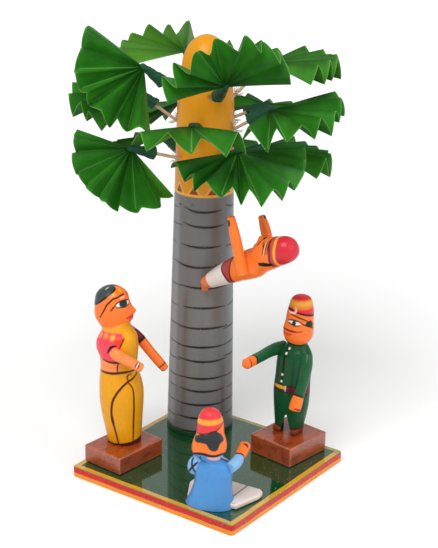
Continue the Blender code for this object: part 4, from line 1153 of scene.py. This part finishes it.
def legs_mesh():
    """The crossed legs: a soft slab on its outline."""
    outline = np.array(SEATED_LEGS + SEATED_LEGS[:1], float)
    travel = travelled(outline)
    even = np.linspace(0, travel[-1], int(travel[-1] / max(GRAIN, 0.7)), endpoint=False)
    edge = np.stack([np.interp(even, travel, outline[:, k]) for k in (0, 1)], 1)
    for _ in range(3):
        edge = (np.roll(edge, 1, 0) + edge * 2 + np.roll(edge, -1, 0)) / 4
    outward = np.roll(edge, -1, 0) - np.roll(edge, 1, 0)
    outward = np.column_stack([outward[:, 1], -outward[:, 0]]) / np.linalg.norm(outward, axis=1)[:, None]
    from_centre = edge - LEGS_CENTRE
    rings = [(LEGS_CENTRE + from_centre * share, 0.0) for share in (0.15, 0.4, 0.7, 0.9)]
    for base, turns in ((LEGS_ROUNDING, (-90, -60, -30, 0)),
                        (SEATED_LEGS_THICKNESS - LEGS_ROUNDING, (0, 30, 60, 90))):
        for turn in np.radians(turns):
            rings.append((edge - LEGS_ROUNDING * (1 - math.cos(turn)) * outward,
                          base + LEGS_ROUNDING * math.sin(turn)))
    shrink = 0.94
    while shrink > 0.03:
        rings.append((LEGS_CENTRE + from_centre * shrink, SEATED_LEGS_THICKNESS))
        shrink -= 0.025
    stack = np.array([np.column_stack([ring, np.full(len(ring), height)]) for ring, height in rings])
    return ring_mesh("legs", stack)


def toward(azimuth):
    """The level direction of an azimuth in radians."""
    return Vector((math.cos(azimuth), math.sin(azimuth), 0))


def post_radius(height):
    """Radius of the trunk at a height above the board."""
    return POST_FOOT_RADIUS - POST_TAPER * height


def climber_places():
    """Peg mouth, outward direction and the climber's matrix: +X his front, +Z from feet to head."""
    out = toward(math.radians(CLIMBER_FOOT_AZIMUTH))
    foot = Vector((*POST, BOARD_THICKNESS + CLIMBER_FOOT_HEIGHT))
    mouth = foot + out * post_radius(CLIMBER_FOOT_HEIGHT)
    level, rise = toward(math.radians(CLIMBER_BODY_AZIMUTH)), math.radians(CLIMBER_BODY_RISE)
    along = level * math.cos(rise) + Vector((0, 0, math.sin(rise)))
    front = -level * math.sin(rise) + Vector((0, 0, math.cos(rise)))
    matrix = Matrix((front, along.cross(front), along)).transposed().to_4x4()
    matrix.translation = (mouth + out * CLIMBER_STAND_OFF) * MM
    return mouth, out, matrix


def dress_climber():
    """The climber: white loincloth, maroon sash, red cap and brushed features."""
    mouth, out, place = climber_places()
    body = carved_mesh("climber_body", CLIMBER_SECTIONS, CLIMBER_NOSE)
    heel_turn = out.to_track_quat("X", "Z").to_matrix().to_4x4()
    heel_turn.translation = mouth * MM
    heel = soft_box_mesh(*CLIMBER_HEEL, CLIMBER_HEEL_ROUNDING, 0.6)
    heel.transform(place.inverted() @ heel_turn)
    mesh = shaped(body, [heel], "UNION")
    mesh.name = "climber_body"
    canvas = figure_canvas(mesh, CLIMBER_SECTIONS, SKIN)
    canvas.band(-20, 9.5, tint("d86c34"))
    canvas.band(9.5, [(0, 30.5), (25, 32), (65, 31.4), (107, 32.2), (150, 31), (-150, 30), (-60, 31)],
                CLOTH, 0.8)
    sash_low = [(0, 31), (25, 32), (65, 31.4), (107, 32.2), (150, 30.5), (-150, 30), (-60, 31)]
    sash_high = [(0, 44), (40, 43.4), (60, 42.3), (96, 38.4), (136, 34.8), (180, 34.5), (-120, 38),
                 (-60, 43)]
    canvas.band(sash_low, sash_high, tint("a83c3c"), 0.7)
    canvas.stroke(sash_low + [(0, 31)], 1.7, tint("3c1420"), 0.2)
    canvas.stroke(sash_high + [(0, 44)], 1.5, tint("5a1820"), 0.2)
    for cap_edge, colour, soft in (
            ([(0, 85), (56, 84.4), (90, 81.6), (125, 78.4), (180, 77.6), (-90, 81), (-40, 84)],
             tint("b4484c"), 0.6),
            ([(0, 87.4), (56, 87), (90, 84.4), (130, 81.2), (180, 80.6), (-90, 84.4), (-40, 87.2)],
             SAFFRON, 0.6),
            ([(0, 89.6), (60, 89.2), (90, 86.6), (130, 83.4), (180, 83.0), (-90, 86.6), (-40, 89.6)],
             tint("c82c38"), 0.8)):
        canvas.band(cap_edge, 110, colour, soft)
    for turn in (list, mirrored):
        canvas.stroke(turn([(0, 85), (27, 84.3), (60, 83.2), (90, 81.2), (120, 78.2), (150, 77)]), 1.9,
                      MAROON, 0.3)
    for turn in (list, mirrored):
        canvas.stroke(turn([(40, 71.4), (28, 73.2), (17, 74.8)]), 1.2, BLACK, 0.4)
        canvas.stroke(turn([(14, 75.4), (5, 76.4)]), 2.6, BLACK, 0.3)
        canvas.stroke(turn([(34, 77.2), (50, 77.8), (66, 77.6), (83, 76.4)]), 1.0, BLACK, 0.5)
        canvas.stroke(turn([(22, 82.2), (52, 81.0), (88, 77.6)]), 1.0, BLACK, 0.4)
        canvas.stroke(turn([(24, 83.9), (49, 82.8), (86, 79.8)]), 0.9, UMBER, 0.4)
        canvas.stroke(turn([(26, 80.9), (52, 79.7), (86, 76.2)]), 0.8, tint("f4b890"), 0.4)
        canvas.stroke(turn([(28, 79.6), (56, 78.4), (84, 75.0)]), 0.9, BLACK, 0.4)
        canvas.stroke(turn([(112, 68.4), (118, 71.0), (126, 74.2), (133, 77.2)]), 3.8, BLACK, 0.3)
    add_painted("climber", "body", mesh, canvas, place, "climber")
    for side, line in (("right", CLIMBER_RIGHT_ARM), ("left", CLIMBER_LEFT_ARM)):
        mesh, canvas, length = arm_mesh("climber_" + side + "_arm", line)
        if side == "left":
            canvas.stroke([(-108, length - 6.2), (-106, length - 3.6)], 2.6, BLACK, 0.2)
        else:
            canvas.dot((180, length - 5.0), 1.5, BLACK)
            canvas.dot((6, length - 2.0), 1.3, BLACK)
        add_painted("climber", side + "_arm", mesh, canvas, place, "climber")


def dress_blocks():
    """The two varnished blocks, rubbed along their edges."""
    for name, block in (("woman_block", WOMAN_BLOCK), ("policeman_block", POLICEMAN_BLOCK)):
        x, y, length, width, height, azimuth = block
        low = np.array((-length / 2, -width / 2, SEAT_GAP))
        high = np.array((length / 2, width / 2, height))
        mesh = soft_box_mesh(low, high, BLOCK_ROUNDING, 0.7)
        points = read_points(mesh)
        gaps = np.sort(np.minimum(points - low, high - points), axis=1)
        write_value(mesh, "edge", np.exp(-gaps[:, 1] / BLOCK_ROUNDING))
        add_piece(name.replace("block", "varnished_block"), mesh, "base", VARNISH,
                  [name], standing((x, y, azimuth), BOARD_THICKNESS))


def dress_post():
    """The turned trunk: grey with black rings, and the mustard crown with its row of triangles."""
    spacing = 0.6
    columns = 132
    profile = [(post_radius(height), height) for height in np.arange(0.3, POST_STRAIGHT_HEIGHT, spacing)]
    shoulder = [(post_radius(height), height)
                for height in (POST_STRAIGHT_HEIGHT, POST_STRAIGHT_HEIGHT + 4)]
    shoulder += [(radius, POST_HEIGHT - depth) for radius, depth in CROWN_PROFILE]
    profile += [tuple(row) for row in smooth_columns(shoulder, spacing, 2)]
    turn = np.arange(columns) * math.tau / columns
    rings = np.array([np.column_stack([POST[0] + radius * np.cos(turn), POST[1] + radius * np.sin(turn),
                                       np.full(columns, BOARD_THICKNESS + height)])
                      for radius, height in profile])
    mesh = ring_mesh("palm_post", rings)
    points = read_points(mesh)
    east, north = points[:, 0] - POST[0], points[:, 1] - POST[1]
    canvas = Canvas(np.degrees(np.arctan2(north, east)) % 360, points[:, 2] - BOARD_THICKNESS,
                    np.hypot(east, north), GREY)
    paint_trunk(canvas)
    paint_crown(canvas)
    canvas.finish(mesh)
    add_piece("palm_post_painted", mesh, "base", POST_PAINT, ["palm_post"])


# Black rings of the trunk: height, start and end azimuth, dip in the middle
TRUNK_RINGS = [
    (188.6, 176, 251, 2.2), (176.4, 174, 258, 1.8), (159.6, 172, 251, 0.8), (144.0, 154, 241, 1.8),
    (126.4, 172, 264, 0.4), (109.6, 180, 262, -0.2), (92.6, 172, 271, -0.4), (77.0, 168, 266, -0.2),
    (65.6, 172, 269, 1.0), (50.8, 175, 267, 0.3), (40.4, 177, 263, 1.2), (28.2, 172, 263, 0.2),
    (16.6, 174, 260, 0.2), (4.8, 168, 268, 0.0),
]
# Brown and grey streaks down the trunk: height from and to, azimuth from and to, colour, strength
TRUNK_STREAKS = [
    (90, 199, 234, 251, "6c5e5a", 0.75), (12, 126, 178, 190, "665c58", 0.7),
    (10, 70, 254, 266, "5e5652", 0.7), (60, 199, 268, 296, "7a868c", 0.6),
    (0, 199, 148, 166, "96969a", 0.6), (30, 150, 320, 338, "6c605a", 0.7),
    (90, 199, 20, 36, "6a5e5a", 0.7), (10, 110, 70, 86, "665c58", 0.7), (60, 190, 110, 124, "6c605c", 0.6),
]
STREAK_FADE = 12.0
# For each side, as it comes round: how much its rings are lifted at most, and how wide the brush is
RING_SIDES = ((0.0, 1.9), (1.6, 1.9), (-1.2, 1.9), (0.9, 1.2))
# The painted crown: height where it starts, and its triangles, with the azimuth of the first
CROWN_START = 199.4
TRIANGLE_COUNT = 10
FIRST_TRIANGLE = 196


def paint_trunk(canvas):
    """Brown streaks down the grey and the black rings of the trunk, side by side all round."""
    for low, high, first, last, colour, strength in TRUNK_STREAKS:
        middle, half = (first + last) / 2, (last - first) / 2
        mask = np.clip(1.35 - np.abs(wrapped(canvas.angle - middle)) / half, 0, 1) * strength
        mask *= np.clip((canvas.height - low) / STREAK_FADE, 0, 1)
        mask *= np.clip((high - canvas.height) / STREAK_FADE, 0, 1)
        canvas.cover(mask, tint(colour))
    for side, (lift, width) in enumerate(RING_SIDES):
        for index, (height, first, last, dip) in enumerate(TRUNK_RINGS):
            height += lift * math.sin(index * 1.7 + side)
            middle = (first + last) / 2
            sway = 90 * side - (4 * math.sin(index * 2.3 + side) if side else 0)
            points = [(first, height + dip * 0.6), (middle - 22, height - dip * 0.3),
                      (middle + 12, height - dip * 0.7), (last, height - dip * 0.2)]
            canvas.stroke([(angle + sway, level) for angle, level in points], width, BLACK, 0.72, 0.6)
    canvas.dot((165, 190.8), 0.9, BLACK)
    canvas.dot((194, 192.6), 1.3, tint("4c6454"), 1.2)
    canvas.band(-1, 4.0, tint("0f4424"), 1.2)


def paint_crown(canvas):
    """Mustard above, a yellow rim and red-brown triangles."""
    canvas.band(CROWN_START, 400, CROWN, 0.6)
    canvas.band(CROWN_START - 1, CROWN_START + 1, tint("eaa83a"), 0.6)
    for index in range(TRIANGLE_COUNT):
        middle = FIRST_TRIANGLE + 360 / TRIANGLE_COUNT * index
        tip = middle + 1.5 * math.sin(index * 2.1)
        for half, low, high, colour in ((14, 200.0, 208.8, "f0b04a"), (10, 200.4, 206.8, "8e3614")):
            canvas.patch([(middle - half, low), (tip, high), (middle + half, low)], tint(colour))
    canvas.dot((224, 276.0), 1.6, tint("8c5a40"), 1.4)
    canvas.dot((228, 273.6), 1.2, tint("a06c48"), 1.4)


def random_value(tree, low, high, seed, number=None):
    """A random number for each element, or for each number that is given."""
    node = add(tree, "FunctionNodeRandomValue", data_type="FLOAT", in_Seed=seed)
    if number is not None:
        feed(number, node.inputs["ID"])
    ends = [socket for socket in node.inputs if socket.type == "VALUE"]
    ends[0].default_value, ends[1].default_value = low, high
    return Wire(tree, next(socket for socket in node.outputs if socket.type == "VALUE"))


def end_tree(tree, geometry, material, out):
    """Make a tree's instances real and give them their material."""
    real = wire(tree, "GeometryNodeRealizeInstances", in_Geometry=geometry)
    feed(wire(tree, "GeometryNodeSetMaterial", in_Geometry=real, in_Material=material), out.inputs[0])


def make_fan_tree():
    """Geometry nodes for a pleated paper fan: its root at the origin, opening in XY about +X."""
    tree, entry, out = new_group(
        "pleated_fan", "GeometryNodeTree",
        {"Opening": 2.0, "Radius": 0.05, "Core": 0.0025, "Pleats": 7, "Fold angle": 0.11,
         "Thickness": 0.0002, "Droop": 0.002, "Unevenness": 0.5, "Waves": 0.0, "Strips per panel": 4,
         "Steps": 14, "Seed": 1, "Paper": None},
        {"Fan": "NodeSocketGeometry"})
    opening, radius, core, waves = (entry[label] for label in ("Opening", "Radius", "Core", "Waves"))
    folds = entry["Pleats"] * 2.0
    mesh = wire(tree, "GeometryNodeMeshGrid", "Mesh", in_0=1.0, in_1=1.0,
                in_Vertices_X=folds * entry["Strips per panel"] + 1.0, in_Vertices_Y=entry["Steps"])
    u, v, _ = parts_of(tree, wire(tree, "GeometryNodeInputPosition"))
    u, v = u + 0.5, v + 0.5
    fold_place = u * folds
    fold_index = fold_place.step("FLOOR", fold_place + CREASE_SLACK)
    within = fold_place - fold_index

    def jitter(offset, spread):
        """A random number for each crease, drawn evenly from one crease to the next."""
        here, following = (random_value(tree, -spread, spread, entry["Seed"] + float(offset),
                                        fold_index + extra)
                           for extra in (0.0, 1.0))
        return (here * (1.0 - within) + following * within) * entry["Unevenness"]

    sharp = 1.0 - abs(fold_place % 2.0 - 1.0) * 2.0
    rounded = (sharp * (math.pi / 2)).sine() * WAVE_HEIGHT
    wave = sharp * (1.0 - waves) + rounded * waves
    bulge = (within * math.pi).sine() * (v * PANEL_BULGE)
    lift = (wave * (1.0 + jitter(11, FOLD_HEIGHT_SPREAD)) + bulge) * entry["Fold angle"]
    turn = (u - 0.5) * opening + jitter(23, FOLD_PLACE_SPREAD) * (opening / folds)
    full = radius * (1.0 + jitter(37, FOLD_LENGTH_SPREAD))
    reach = core + (full - core) * v
    sag = entry["Droop"] * (reach / radius) ** 2.0
    level = lift.cosine()
    spot = vector_of(tree, reach * (turn.cosine() * level), reach * (turn.sine() * level),
                     reach * lift.sine() - sag)
    # The fields are stored while the grid is still flat, because they read its flat places
    for name, value in (("fold", wave), ("reach", v)):
        mesh = wire(tree, "GeometryNodeStoreNamedAttribute", in_Geometry=mesh, in_Value=value, in_Name=name)
    upper = wire(tree, "GeometryNodeSetPosition", in_Geometry=mesh, in_Position=spot)
    lower = wire(tree, "GeometryNodeFlipFaces", in_Mesh=upper)
    # A ridge seen from above is a fold seen from below, so the painted highlights and shade follow each
    # side
    turned = wire(tree, "GeometryNodeInputNamedAttribute", in_Name="fold") * -1.0
    lower = wire(tree, "GeometryNodeStoreNamedAttribute", in_Geometry=lower, in_Value=turned,
                 in_Name="fold")
    raised = wire(tree, "GeometryNodeExtrudeMesh", "Mesh", in_Mesh=upper,
                  in_Offset_Scale=entry["Thickness"], in_Individual=False)
    both = tree.nodes.new("GeometryNodeJoinGeometry")
    feed(raised, both.inputs[0])
    feed(lower, both.inputs[0])
    closed = wire(tree, "GeometryNodeMergeByDistance", in_Geometry=Wire(tree, both.outputs[0]),
                  in_Distance=0.00001)
    end_tree(tree, closed, entry["Paper"], out)
    return tree


def make_tuft_tree():
    """Geometry nodes for a tuft of bent strands that stand round a stick; the stick runs along +X."""
    tree, entry, out = new_group(
        "glue_tuft", "GeometryNodeTree",
        {"Strands": 16, "Length": 0.005, "Thickness": 0.00016, "Stick radius": 0.00125, "Seed": 1,
         "Fibre": None},
        {"Tuft": "NodeSocketGeometry"})

    def chance(low, high, offset):
        """A random number for each strand."""
        return random_value(tree, low, high, entry["Seed"] + float(offset))

    def sized(curve, size):
        """A curve at another size."""
        return wire(tree, "GeometryNodeTransform", in_Geometry=curve,
                    in_Scale=vector_of(tree, size, size, size))

    strand = wire(tree, "GeometryNodeCurvePrimitiveBezierSegment", in_Resolution=5, in_Start=(0, 0, 0),
                  in_Start_Handle=(0.1, 0, 0.45), in_End_Handle=(0.5, 0.2, 0.75), in_End=(0.95, 0.1, 0.8))
    section = wire(tree, "GeometryNodeCurvePrimitiveCircle", "Curve", in_Resolution=5)
    tube = wire(tree, "GeometryNodeCurveToMesh", in_Curve=sized(strand, entry["Length"]),
                in_Profile_Curve=sized(section, entry["Thickness"]), in_Fill_Caps=True)
    turn = wire(tree, "GeometryNodeInputIndex") * GOLDEN_ANGLE + chance(-0.5, 0.5, 7)
    rim = vector_of(tree, 0.0, turn.sine() * (entry["Stick radius"] * -0.8),
                    turn.cosine() * (entry["Stick radius"] * 0.8))
    points = wire(tree, "GeometryNodePoints", in_Count=entry["Strands"], in_Position=rim)
    size = chance(0.45, 1.0, 1)
    placed = wire(tree, "GeometryNodeInstanceOnPoints", in_Points=points, in_Instance=tube,
                  in_Rotation=vector_of(tree, turn, chance(-0.15, 0.15, 3), chance(-0.2, 0.2, 5)),
                  in_Scale=vector_of(tree, size, size, size))
    end_tree(tree, placed, entry["Fibre"], out)
    return tree


def grown(tree, **values):
    """The plain mesh that a geometry node tree gives for its named inputs."""
    holder = put_in_scene("holder", bpy.data.meshes.new("holder"))
    modifier = holder.modifiers.new("grow", "NODES")
    modifier.node_group = tree
    sockets = {item.name: item.identifier for item in tree.interface.items_tree if item.in_out == "INPUT"}
    for label, value in values.items():
        modifier[sockets[label.replace("_", " ")]] = value
    bpy.context.view_layer.update()
    return evaluated_mesh(holder)


def joined(first, second):
    """Two meshes as one."""
    bm = bmesh.new()
    bm.from_mesh(first)
    bm.from_mesh(second)
    bm.to_mesh(first)
    bm.free()
    return first


def leaf_line(leaf):
    """Hole mouth, root of the fan and the stick's direction, in millimetres."""
    azimuth, hole, reach, rise = leaf[:4]
    out = toward(math.radians(azimuth))
    axis = Vector((*POST, BOARD_THICKNESS))
    mouth = axis + out * post_radius(hole) + Vector((0, 0, hole))
    root = axis + out * reach + Vector((0, 0, hole + rise))
    return mouth, root, (root - mouth).normalized()


def fan_matrix(root, azimuth, elevation, roll):
    """Place of a fan: +X its middle ray, +Y across, +Z its upper side."""
    level = toward(azimuth)
    middle = level * math.cos(elevation) + Vector((0, 0, math.sin(elevation)))
    across = Vector((-level.y, level.x, 0))
    side = across * math.cos(roll) + middle.cross(across) * math.sin(roll)
    matrix = Matrix((middle, side, middle.cross(side))).transposed().to_4x4()
    matrix.translation = root * MM
    return matrix


def tube_rings(start, along, stations, columns, wander):
    """Rings round a straight line: (distance, radius) stations, with a change of radius at each."""
    side_u = along.orthogonal().normalized()
    side_v = along.cross(side_u)
    turn = np.arange(columns) * math.tau / columns
    rings = []
    for distance, radius in stations:
        wide = radius + wander(distance, turn)
        middle = np.array(start + along * distance)
        rings.append(middle + np.outer(np.cos(turn) * wide, side_u)
                     + np.outer(np.sin(turn) * wide, side_v))
    return np.array(rings)


def wrap_mesh(root, along, seed):
    """The paper wound round the stick, its turns overlapping in a slanting seam."""
    columns = 30
    spots = np.linspace(-WRAP_LENGTH, -1.0, 26)
    radii = np.interp(spots, (-WRAP_LENGTH, -1.0), (WRAP_TAIL_RADIUS, WRAP_RADIUS))
    stations = [(-WRAP_LENGTH, WRAP_TAIL_RADIUS * 0.75), *zip(spots, radii)]
    stations += [(spot, WRAP_RADIUS * share)
                 for spot, share in ((0.6, 0.97), (2.0, 0.85), (3.0, 0.6), (3.4, 0.4))]

    def overlap(distance, turn):
        turns = (turn / math.tau + distance / WRAP_PITCH + seed * 0.37) % 1.0
        crinkle = WRAP_CRINKLE * np.sin(5 * turn + distance * 1.3 + seed)
        return WRAP_STEP * (turns - 0.75) + crinkle

    mesh = ring_mesh("wrap", tube_rings(root, along, stations, columns, overlap))
    write_value(mesh, "fold", np.zeros(len(mesh.vertices)))
    write_value(mesh, "reach", np.full(len(mesh.vertices), -1.0))
    return mesh


def stick_mesh(mouth, along, length, seed):
    """A split bamboo stick: three flat sides and a rounded one, not quite straight."""
    columns = 16
    stations = [(spot, STICK_RADIUS) for spot in np.linspace(-STICK_DEPTH, length, 26)]

    def split(distance, turn):
        flats = STICK_FLATS * np.cos(3 * turn + seed)
        return 0.05 * np.sin(distance * 0.7 + turn * 2 + seed * 2) - flats - 0.06

    mesh = ring_mesh("stick", tube_rings(mouth, along, stations, columns, split))
    count = columns * len(stations)
    grain = np.zeros((len(mesh.vertices), 3))
    grain[:count, 0] = np.tile(np.arange(columns) * 1.6, len(stations)) + seed * 7
    grain[:count, 1] = np.repeat([spot for spot, _ in stations], columns) * 0.12
    mesh.attributes.new("grain", "FLOAT_VECTOR", "POINT").data.foreach_set("vector", grain.ravel())
    return mesh


def dress_leaves():
    """Every leaf: its pleated fan with the wound end, its stick, and the glued fibre at the hole."""
    tree = make_fan_tree()
    tuft_tree = make_tuft_tree()
    for number, (name, leaf) in enumerate(LEAVES.items()):
        mouth, root, along = leaf_line(leaf)
        azimuth, elevation, roll, opening = (math.radians(value) for value in leaf[4:8])
        fan = grown(tree, Opening=opening, Radius=leaf[8] * MM, Core=FAN_CORE * MM, Pleats=leaf[9],
                    Fold_angle=math.radians(leaf[10]), Thickness=PAPER * MM, Droop=FAN_DROOP * MM,
                    Unevenness=FAN_UNEVENNESS, Waves=LEAF_WAVES.get(name, USUAL_WAVES),
                    Strips_per_panel=6, Steps=16, Seed=number * 50 + 1,
                    Paper=PAPER_LEAF)
        fan.transform(fan_matrix(root, azimuth, elevation, roll))
        body = "leaf_" + name + "_on_stick"
        mesh = joined(fan, wrap_mesh(root, along, number))
        write_value(mesh, "ripe", np.full(len(mesh.vertices), LEAF_YELLOWING.get(name, 0.0)))
        add_piece("paper_leaf_" + name, mesh, body, PAPER_LEAF, ["leaf_" + name],
                  sharp=PAPER_SHARP_ANGLE)
        mesh = stick_mesh(mouth, along, (root - mouth).length - STICK_END_GAP, number)
        add_piece("bamboo_stick_" + name, mesh, body, BAMBOO, ["stick_" + name])
        tuft = grown(tuft_tree, Strands=TUFT_STRANDS, Length=TUFT_LENGTH * MM,
                     Thickness=TUFT_THICKNESS * MM, Stick_radius=STICK_RADIUS * MM, Seed=number * 9 + 3,
                     Fibre=FIBRE)
        facing = along.to_track_quat("X", "Z").to_matrix().to_4x4()
        facing.translation = (mouth + along * TUFT_STAND_OFF) * MM
        tuft.transform(facing)
        add_piece("glue_tuft_" + name, tuft, body, FIBRE, [])


def dress_small_nodes():
    """Finishes for the solids that stay: the board and what is hidden in the wood."""
    nodes = frame["nodes"]
    for name, material in (("board", BOARD_PAINT), ("post_dowel", WOOD), ("climber_peg", WOOD),
                           ("woman_nail", STEEL), ("policeman_nail", STEEL)):
        mesh = nodes[name].data
        mesh.materials.clear()
        mesh.materials.append(material)
    board = nodes["board"].data
    board.materials.append(BOARD_SIDE_PAINT)
    for face in board.polygons:
        face.material_index = 0 if face.normal.z > 0.5 else 1


def set_camera():
    """The camera where the photograph was taken."""
    yaw, pitch, roll = (math.radians(value) for value in (CAMERA_YAW, CAMERA_PITCH, CAMERA_ROLL))
    forward = Vector((math.sin(yaw) * math.cos(pitch), math.cos(yaw) * math.cos(pitch), -math.sin(pitch)))
    level = Vector((math.cos(yaw), -math.sin(yaw), 0))
    upward = level.cross(forward)
    right = level * math.cos(roll) + upward * math.sin(roll)
    up = -level * math.sin(roll) + upward * math.cos(roll)
    data = bpy.data.cameras.new("camera")
    data.lens = CAMERA_LENS
    data.sensor_fit = "VERTICAL"
    data.sensor_height = CAMERA_SENSOR
    data.clip_start = 0.05
    camera = put_in_scene("camera", data)
    camera.matrix_world = Matrix((right, up, -forward)).transposed().to_4x4()
    camera.location = Vector(CAMERA_PLACE) * MM
    bpy.context.scene.camera = camera


def set_light():
    """Pale floor, even sky and two large soft lamps."""
    scene = bpy.context.scene
    scene.view_settings.view_transform = "Standard"
    scene.world = bpy.data.worlds.new("studio")
    scene.world.use_nodes = True
    tree = scene.world.node_tree
    background = tree.nodes["Background"].inputs
    background["Color"].default_value = (1, 1, 1, 1)
    feed(wire(tree, "ShaderNodeLightPath", "Is Camera Ray").mapped(0, 1, SKY_LIGHT, 1.0),
         background["Strength"])
    for label, (place, size, power) in LAMPS.items():
        data = bpy.data.lights.new(label, "AREA")
        data.shape = "SQUARE"
        data.size = size
        data.energy = power
        lamp = put_in_scene(label, data)
        lamp.location = place
        lamp.rotation_euler = (Vector(place) - Vector(LAMP_AIM)).to_track_quat("Z", "Y").to_euler()
    mesh = bpy.data.meshes.new("floor")
    mesh.from_pydata([(-4, -4, 0), (4, -4, 0), (4, 4, 0), (-4, 4, 0)], [], [(0, 1, 2, 3)])
    material, tree, sockets = new_material("floor")
    sockets["Base Color"].default_value = (0.93, 0.93, 0.93, 1)
    sockets["Roughness"].default_value = 0.9
    sockets["Emission Color"].default_value = (1, 1, 1, 1)
    far = wire(tree, "ShaderNodeVectorMath", "Value", operation="LENGTH", in_0=object_place(tree))
    feed(far.mapped(0.25, 1.6, 0.08, 0.55), sockets["Emission Strength"])
    mesh.materials.append(material)
    put_in_scene("floor", mesh)


set_camera()
set_light()
dress_small_nodes()
dress_blocks()
dress_post()
dress_leaves()
dress_woman()
dress_policeman()
dress_seated_man()
dress_climber()
